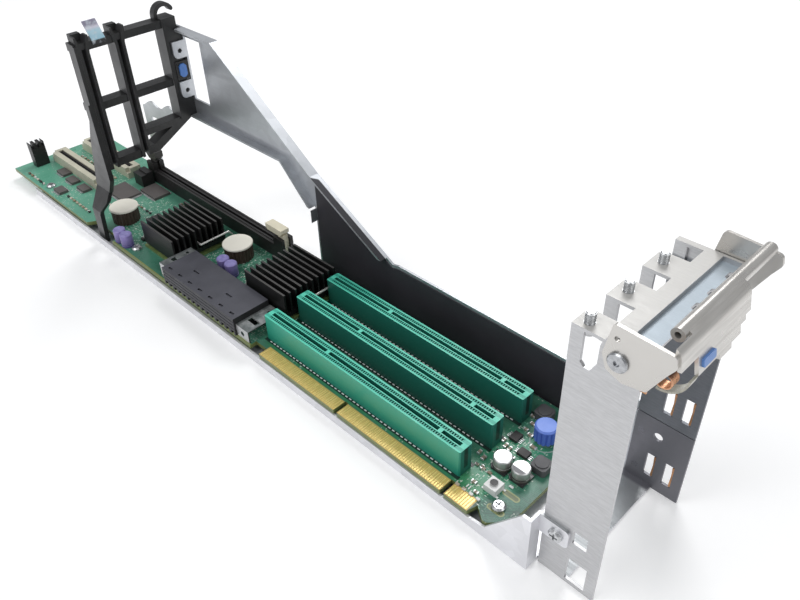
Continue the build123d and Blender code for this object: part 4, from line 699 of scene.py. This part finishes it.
# New pieces
def small_bar(name, low, high, edge):
    """A bevelled bar between two corners, in millimetres."""
    bpy.ops.object.select_all(action="DESELECT")
    middle = [(a + b) / 2 * MM for a, b in zip(low, high)]
    size = [(b - a) * MM for a, b in zip(low, high)]
    bpy.ops.mesh.primitive_cube_add(size=1, location=middle, scale=size)
    piece = bpy.context.active_object
    piece.name = name
    bpy.ops.object.transform_apply(location=False, rotation=False, scale=True)
    bpy.ops.object.mode_set(mode="EDIT")
    bpy.ops.mesh.select_all(action="SELECT")
    bpy.ops.mesh.bevel(offset=edge * MM, segments=1)
    bpy.ops.object.mode_set(mode="OBJECT")
    return piece


def repeat(piece, step, count):
    """Copies a piece along a line of equal steps, in millimetres."""
    array = piece.modifiers.new("row", "ARRAY")
    array.use_relative_offset = False
    array.use_constant_offset = True
    array.constant_offset_displace = [part * MM for part in step]
    array.count = count
    bpy.context.view_layer.objects.active = piece
    bpy.ops.object.modifier_apply(modifier="row")
    return piece


def settle(pieces, name, finish, body="riser"):
    """Joins pieces, puts their place in the mesh and lets them ride on a body."""
    bpy.ops.object.select_all(action="DESELECT")
    for piece in pieces:
        piece.select_set(True)
    bpy.context.view_layer.objects.active = pieces[0]
    if len(pieces) > 1:
        bpy.ops.object.join()
    whole = bpy.context.active_object
    whole.name = name
    bpy.ops.object.transform_apply(location=True, rotation=True, scale=True)
    whole.data.materials.clear()
    whole.data.materials.append(finish.material)
    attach(whole, body)
    return whole


def add_slot_ribs(teal, bronze):
    """Ribs between the contact windows of each card slot, and the contacts below."""
    ribs = []
    contacts = []
    rib_low, rib_high = SLOT_TOP - 0.95, SLOT_TOP - 0.12
    tip_low, tip_high = SLOT_TOP - 1.0, SLOT_TOP - 0.62
    rib_left, rib_right = SLOT_START + 0.3, SLOT_START + 0.85
    tip_left, tip_right = SLOT_START + 0.97, SLOT_START + 1.42
    for y in SLOT_ROWS:
        for low in (y - 2.95, y + 1.55):
            rib = small_bar("rib", (rib_left, low, rib_low), (rib_right, low + 1.4, rib_high), 0.08)
            ribs.append(repeat(rib, (CONTACT_PITCH, 0, 0), 96))
            tip = small_bar("tip", (tip_left, low + 0.15, tip_low), (tip_right, low + 1.25, tip_high), 0.1)
            contacts.append(repeat(tip, (CONTACT_PITCH, 0, 0), 95))
    settle(ribs, "slot_ribs", teal)
    settle(contacts, "slot_contacts", bronze)


def add_dimm_ribs(black):
    """Ribs between the contact windows of the memory socket."""
    ribs = []
    for low in (DIMM_ROW - 2.85, DIMM_ROW + 1.95):
        corners = ((DIMM_START, low, DIMM_TOP - 1.15), (DIMM_START + 0.7, low + 0.9, DIMM_TOP))
        ribs.append(repeat(small_bar("rib", *corners, 0.08), (CONTACT_PITCH, 0, 0), 98))
    settle(ribs, "dimm_ribs", black)


def add_solder_dashes(white):
    """White marks on the board along the feet of the card slots."""
    dashes = []
    for y in SLOT_ROWS:
        for low in (y - 4.85, y + 4.3):
            corners = ((SLOT_START, low, BOARD_TOP - 0.01), (SLOT_START + 1.5, low + 0.55, BOARD_TOP + 0.08))
            dashes.append(repeat(small_bar("dash", *corners, 0.03), (CONTACT_PITCH * 2, 0, 0), 48))
    settle(dashes, "solder_dashes", white)


# Middle, length along X, width along Y, lead pitch and the axes of the sides with leads, in millimetres
CHIPS = (
    (190.6, 7.6, 4.0, 5.0, 0.9, "x"), (198.7, 2.6, 5.0, 4.0, 0.9, "x"), (10.5, 9.5, 8.0, 5.0, 1.0, "y"),
    (-82.5, -3.0, 5.0, 8.0, 1.0, "x"), (-127.5, 0.0, 21.0, 14.0, 0.65, "xy"),
    (-112.0, 14.2, 18.0, 11.4, 0.65, "y"), (-182.7, -14.3, 10.0, 6.0, 0.8, "y"),
    (-167.6, -15.5, 10.0, 6.0, 0.8, "y"), (-160.7, -27.4, 9.0, 6.0, 0.8, "y"),
    (-151.7, -15.6, 9.6, 6.0, 0.8, "y"),
)
CHIP_MARGIN = 0.8


def add_chip_leads(metal):
    """Bent leads along the sides of the chip packages."""
    leads = []
    for x, y, length, width, pitch, sides in CHIPS:
        for side in (-1, 1):
            if "y" in sides:
                count = int((length - CHIP_MARGIN) / pitch)
                first = x - (count - 1) * pitch / 2
                near = y + side * width / 2
                low, high = sorted((near, near + side * 1.2))
                corners = ((first - 0.2, low, BOARD_TOP), (first + 0.2, high, BOARD_TOP + 0.4))
                leads.append(repeat(small_bar("lead", *corners, 0.06), (pitch, 0, 0), count))
            if "x" in sides:
                count = int((width - CHIP_MARGIN) / pitch)
                first = y - (count - 1) * pitch / 2
                near = x + side * length / 2
                low, high = sorted((near, near + side * 1.7))
                corners = ((low, first - 0.22, BOARD_TOP), (high, first + 0.22, BOARD_TOP + 0.5))
                leads.append(repeat(small_bar("lead", *corners, 0.06), (0, pitch, 0), count))
    settle(leads, "chip_leads", metal)


# Middle, length along X and width along Y of each tiny part at the slots' right ends, in millimetres
TINY_PARTS = (
    (187.9, -10.6, 1.6, 2.4), (184.6, -9.4, 1.3, 2.2), (193.2, -22.9, 2.2, 1.4), (190.4, 1.0, 1.3, 2.4),
    (192.7, 0.6, 1.3, 2.4), (187.9, 2.9, 1.2, 2.0), (191.2, 18.8, 2.4, 1.4), (194.3, 12.8, 2.4, 1.3),
    (191.0, 14.2, 2.0, 1.2), (199.4, 8.2, 3.0, 1.5), (196.5, -2.2, 2.0, 1.2), (204.8, -2.4, 1.2, 2.0),
    (197.2, -26.4, 2.0, 1.2), (190.6, -14.8, 1.2, 1.9), (188.4, 22.4, 2.0, 1.2),
)
TINY_HEIGHT = 1.05


def box_about(name, x, y, half_x, half_y, height):
    """A bevelled box that stands on the board around a middle."""
    low = (x - half_x, y - half_y, BOARD_TOP)
    return small_bar(name, low, (x + half_x, y + half_y, BOARD_TOP + height), 0.08)


def add_tiny_parts(ceramic, tin):
    """Chip capacitors and resistors: a ceramic middle between two tinned ends."""
    middles = []
    ends = []
    for x, y, length, width in TINY_PARTS:
        along_x, along_y = (1, 0) if length > width else (0, 1)
        half = (length / 2 - 0.35 * along_x, width / 2 - 0.35 * along_y)
        middles.append(box_about("middle", x, y, *half, TINY_HEIGHT))
        reach = (0.32 if along_x else length / 2 + 0.03, 0.32 if along_y else width / 2 + 0.03)
        for side in (-1, 1):
            end_x = x + side * along_x * (length / 2 - 0.15)
            end_y = y + side * along_y * (width / 2 - 0.15)
            ends.append(box_about("end", end_x, end_y, *reach, TINY_HEIGHT + 0.05))
    settle(middles, "tiny_parts", ceramic)
    settle(ends, "tiny_part_ends", tin)


def add_white_strips(white):
    """Narrow white strips and pads by the switch, and the switch's four feet."""
    strips = [
        small_bar("strip", (192.8, -15.5, BOARD_TOP), (199.2, -15.0, BOARD_TOP + 0.35), 0.1),
        small_bar("strip", (204.6, -15.0, BOARD_TOP), (206.6, -14.0, BOARD_TOP + 0.7), 0.15),
        small_bar("strip", (192.2, -27.0, BOARD_TOP), (192.7, -25.2, BOARD_TOP + 0.6), 0.1),
        small_bar("strip", (193.5, -27.2, BOARD_TOP), (194.0, -25.4, BOARD_TOP + 0.6), 0.1),
    ]
    for x in (197.4, 204.6):
        for y in (-22.4, -17.6):
            corners = ((x - 0.6, y - 0.5, BOARD_TOP), (x + 0.6, y + 0.5, BOARD_TOP + 0.3))
            strips.append(small_bar("foot", *corners, 0.1))
    settle(strips, "white_strips", white)


def add_stud_threads(metal):
    """Thread crests on the bracket studs."""
    rings = []
    for y in SLOT_ROWS:
        bpy.ops.object.select_all(action="DESELECT")
        bpy.ops.mesh.primitive_torus_add(
            location=(STUD_X * MM, (y + STUD_OFFSET) * MM, STUD_FOOT * MM),
            major_radius=1.5 * MM, minor_radius=0.2 * MM, major_segments=24, minor_segments=6,
        )
        rings.append(repeat(bpy.context.active_object, (0, 0, 0.6), 6))
    threads = settle(rings, "stud_threads", metal)
    bpy.context.view_layer.objects.active = threads
    bpy.ops.object.shade_smooth_by_angle(angle=radians(40))


def bent_strip(name, middle, radius, sides, first, last, thickness):
    """A strip bent round an axis along Y, between two angles from +X towards +Z, in millimetres."""
    bpy.ops.object.select_all(action="DESELECT")
    bpy.ops.mesh.primitive_plane_add(size=1, location=(0, 0, 0))
    strip = bpy.context.active_object
    strip.name = name
    x = (middle[0] + radius * cos(first)) * MM
    z = (middle[1] + radius * sin(first)) * MM
    for vertex in strip.data.vertices:
        vertex.co = (x, sides[vertex.co.y > 0] * MM, z)
    bpy.ops.object.mode_set(mode="EDIT")
    bpy.ops.mesh.select_all(action="SELECT")
    bpy.ops.mesh.remove_doubles(threshold=0.000001)
    bpy.ops.mesh.select_all(action="SELECT")
    bpy.ops.mesh.spin(steps=16, angle=last - first, center=(middle[0] * MM, 0, middle[1] * MM), axis=(0, 1, 0))
    bpy.ops.mesh.select_all(action="SELECT")
    bpy.ops.mesh.remove_doubles(threshold=0.000001)
    bpy.ops.object.mode_set(mode="OBJECT")
    wall = strip.modifiers.new("wall", "SOLIDIFY")
    wall.thickness = thickness * MM
    wall.offset = 0.0
    bpy.ops.object.modifier_apply(modifier="wall")
    bpy.ops.object.mode_set(mode="EDIT")
    bpy.ops.mesh.select_all(action="SELECT")
    bpy.ops.mesh.normals_make_consistent(inside=False)
    bpy.ops.object.mode_set(mode="OBJECT")
    bpy.ops.object.shade_smooth_by_angle(angle=radians(40))
    return strip


def add_latch_curl():
    """The latch spring's curled copper end, fixed, with a painted highlight below and painted shade above, and
    the latch's own rolled lip beside its near ear.
    """
    # painted highlight: the curl's copper is brighter than the rest of the spring
    copper = turned_metal("copper_curl", (0.80, 0.42, 0.24), 0.30, 0.55)
    # painted shade: the curl is dark above
    dark = copper.mask(copper.axis("Z"), 0.1140, 0.1150)
    copper.paint(copper.blend(dark, copper.color, (0.10, 0.040, 0.022)))
    curl = bent_strip("spring_end", (260.4, 112.6), 2.6, (-28.4, -24.8), radians(-170), radians(80), 0.4)
    settle([curl], "spring_end", copper)
    lip = bent_strip("latch_lip", (257.8, 113.2), 8.1, (-24.4, -20.4), radians(-95), radians(-4), 0.7)
    settle([lip], "latch_lip", turned_metal("lip_steel", (0.50, 0.49, 0.42), 0.32, 0.5), "latch")


def add_print_ring(white):
    """Printed circle on the board around the knob."""
    bpy.ops.object.select_all(action="DESELECT")
    bpy.ops.mesh.primitive_torus_add(
        location=(KNOB_PLACE[0] * MM, KNOB_PLACE[1] * MM, BOARD_TOP * MM),
        major_radius=6.4 * MM, minor_radius=0.28 * MM, major_segments=48, minor_segments=6,
    )
    ring = bpy.context.active_object
    ring.scale = (1, 1, 0.1)
    settle([ring], "print_ring", white)


# Floor and light
FLOOR_GLOW = 0.16
STUDIO_LIGHT = 0.42


def add_floor():
    """A pale floor; to the camera and in reflections it glows a little, so that it ends in white."""
    bpy.ops.object.select_all(action="DESELECT")
    bpy.ops.mesh.primitive_plane_add(size=12, location=(0, 0, 0))
    floor = bpy.context.active_object
    floor.name = "floor"
    material = bpy.data.materials.new("pale_floor")
    material.use_nodes = True
    tree = material.node_tree
    tree.nodes.clear()
    output = tree.nodes.new("ShaderNodeOutputMaterial")
    diffuse = tree.nodes.new("ShaderNodeBsdfDiffuse")
    diffuse.inputs["Color"].default_value = (0.94, 0.94, 0.94, 1)
    glow = tree.nodes.new("ShaderNodeEmission")
    glow.inputs["Color"].default_value = (1, 1, 1, 1)
    path = tree.nodes.new("ShaderNodeLightPath")
    share = tree.nodes.new("ShaderNodeMath")
    share.operation = "MULTIPLY"
    share.inputs[1].default_value = FLOOR_GLOW
    seen = tree.nodes.new("ShaderNodeMath")
    seen.operation = "MAXIMUM"
    both = tree.nodes.new("ShaderNodeAddShader")
    tree.links.new(path.outputs["Is Camera Ray"], seen.inputs[0])
    tree.links.new(path.outputs["Is Glossy Ray"], seen.inputs[1])
    tree.links.new(seen.outputs[0], share.inputs[0])
    tree.links.new(share.outputs[0], glow.inputs["Strength"])
    tree.links.new(diffuse.outputs[0], both.inputs[0])
    tree.links.new(glow.outputs[0], both.inputs[1])
    tree.links.new(both.outputs[0], output.inputs["Surface"])
    floor.data.materials.append(material)


def add_world():
    """White to the camera and through clear pieces, dim soft light for all the rest."""
    world = bpy.data.worlds.new("studio")
    bpy.context.scene.world = world
    world.use_nodes = True
    tree = world.node_tree
    shown = tree.nodes["Background"]
    shown.inputs["Color"].default_value = (1, 1, 1, 1)
    shown.inputs["Strength"].default_value = 1.0
    dim = tree.nodes.new("ShaderNodeBackground")
    dim.inputs["Color"].default_value = (0.95, 0.97, 1.0, 1)
    dim.inputs["Strength"].default_value = STUDIO_LIGHT
    path = tree.nodes.new("ShaderNodeLightPath")
    seen = tree.nodes.new("ShaderNodeMath")
    seen.operation = "MAXIMUM"
    mix = tree.nodes.new("ShaderNodeMixShader")
    tree.links.new(path.outputs["Is Camera Ray"], seen.inputs[0])
    tree.links.new(path.outputs["Is Transmission Ray"], seen.inputs[1])
    tree.links.new(seen.outputs[0], mix.inputs["Fac"])
    tree.links.new(dim.outputs[0], mix.inputs[1])
    tree.links.new(shown.outputs[0], mix.inputs[2])
    tree.links.new(mix.outputs[0], tree.nodes["World Output"].inputs["Surface"])


def add_lamp(name, place, target, size, power):
    """A square soft lamp that faces a target, in metres and watts."""
    data = bpy.data.lights.new(name, "AREA")
    data.shape = "SQUARE"
    data.size = size
    data.energy = power
    lamp = bpy.data.objects.new(name, data)
    bpy.context.scene.collection.objects.link(lamp)
    lamp.location = place
    lamp.rotation_euler = (Vector(target) - Vector(place)).to_track_quat("-Z", "Y").to_euler()


def main():
    bpy.context.scene.view_settings.view_transform = "Standard"
    add_camera()
    teal, black, metal = finish_nodes()
    contact = moulded_plastic("contact_bronze", (0.028, 0.210, 0.155), 0.4, spread=0.3)
    white = moulded_plastic("print_white", (0.82, 0.84, 0.82), 0.5, spread=0.06)
    grey = moulded_plastic("print_grey", (0.36, 0.46, 0.41), 0.5, spread=0.10)
    tin = turned_metal("tinned_lead", (0.80, 0.81, 0.82), 0.32, 0.6)
    add_slot_ribs(teal, contact)
    add_dimm_ribs(black)
    add_solder_dashes(white)
    add_chip_leads(tin)
    add_tiny_parts(moulded_plastic("ceramic_tan", (0.30, 0.25, 0.19), 0.45, spread=0.35), tin)
    add_white_strips(white)
    add_stud_threads(metal)
    add_print_ring(grey)
    add_latch_curl()
    add_floor()
    add_world()
    add_lamp("key", (-0.2, -0.9, 1.3), (0, 0, 0.03), 1.0, 8)
    add_lamp("fill", (1.2, 0.1, 0.8), (0.1, 0, 0.03), 0.9, 3.5)
    add_lamp("back", (-0.3, 0.8, 1.1), (0, 0, 0.03), 0.6, 7)


main()
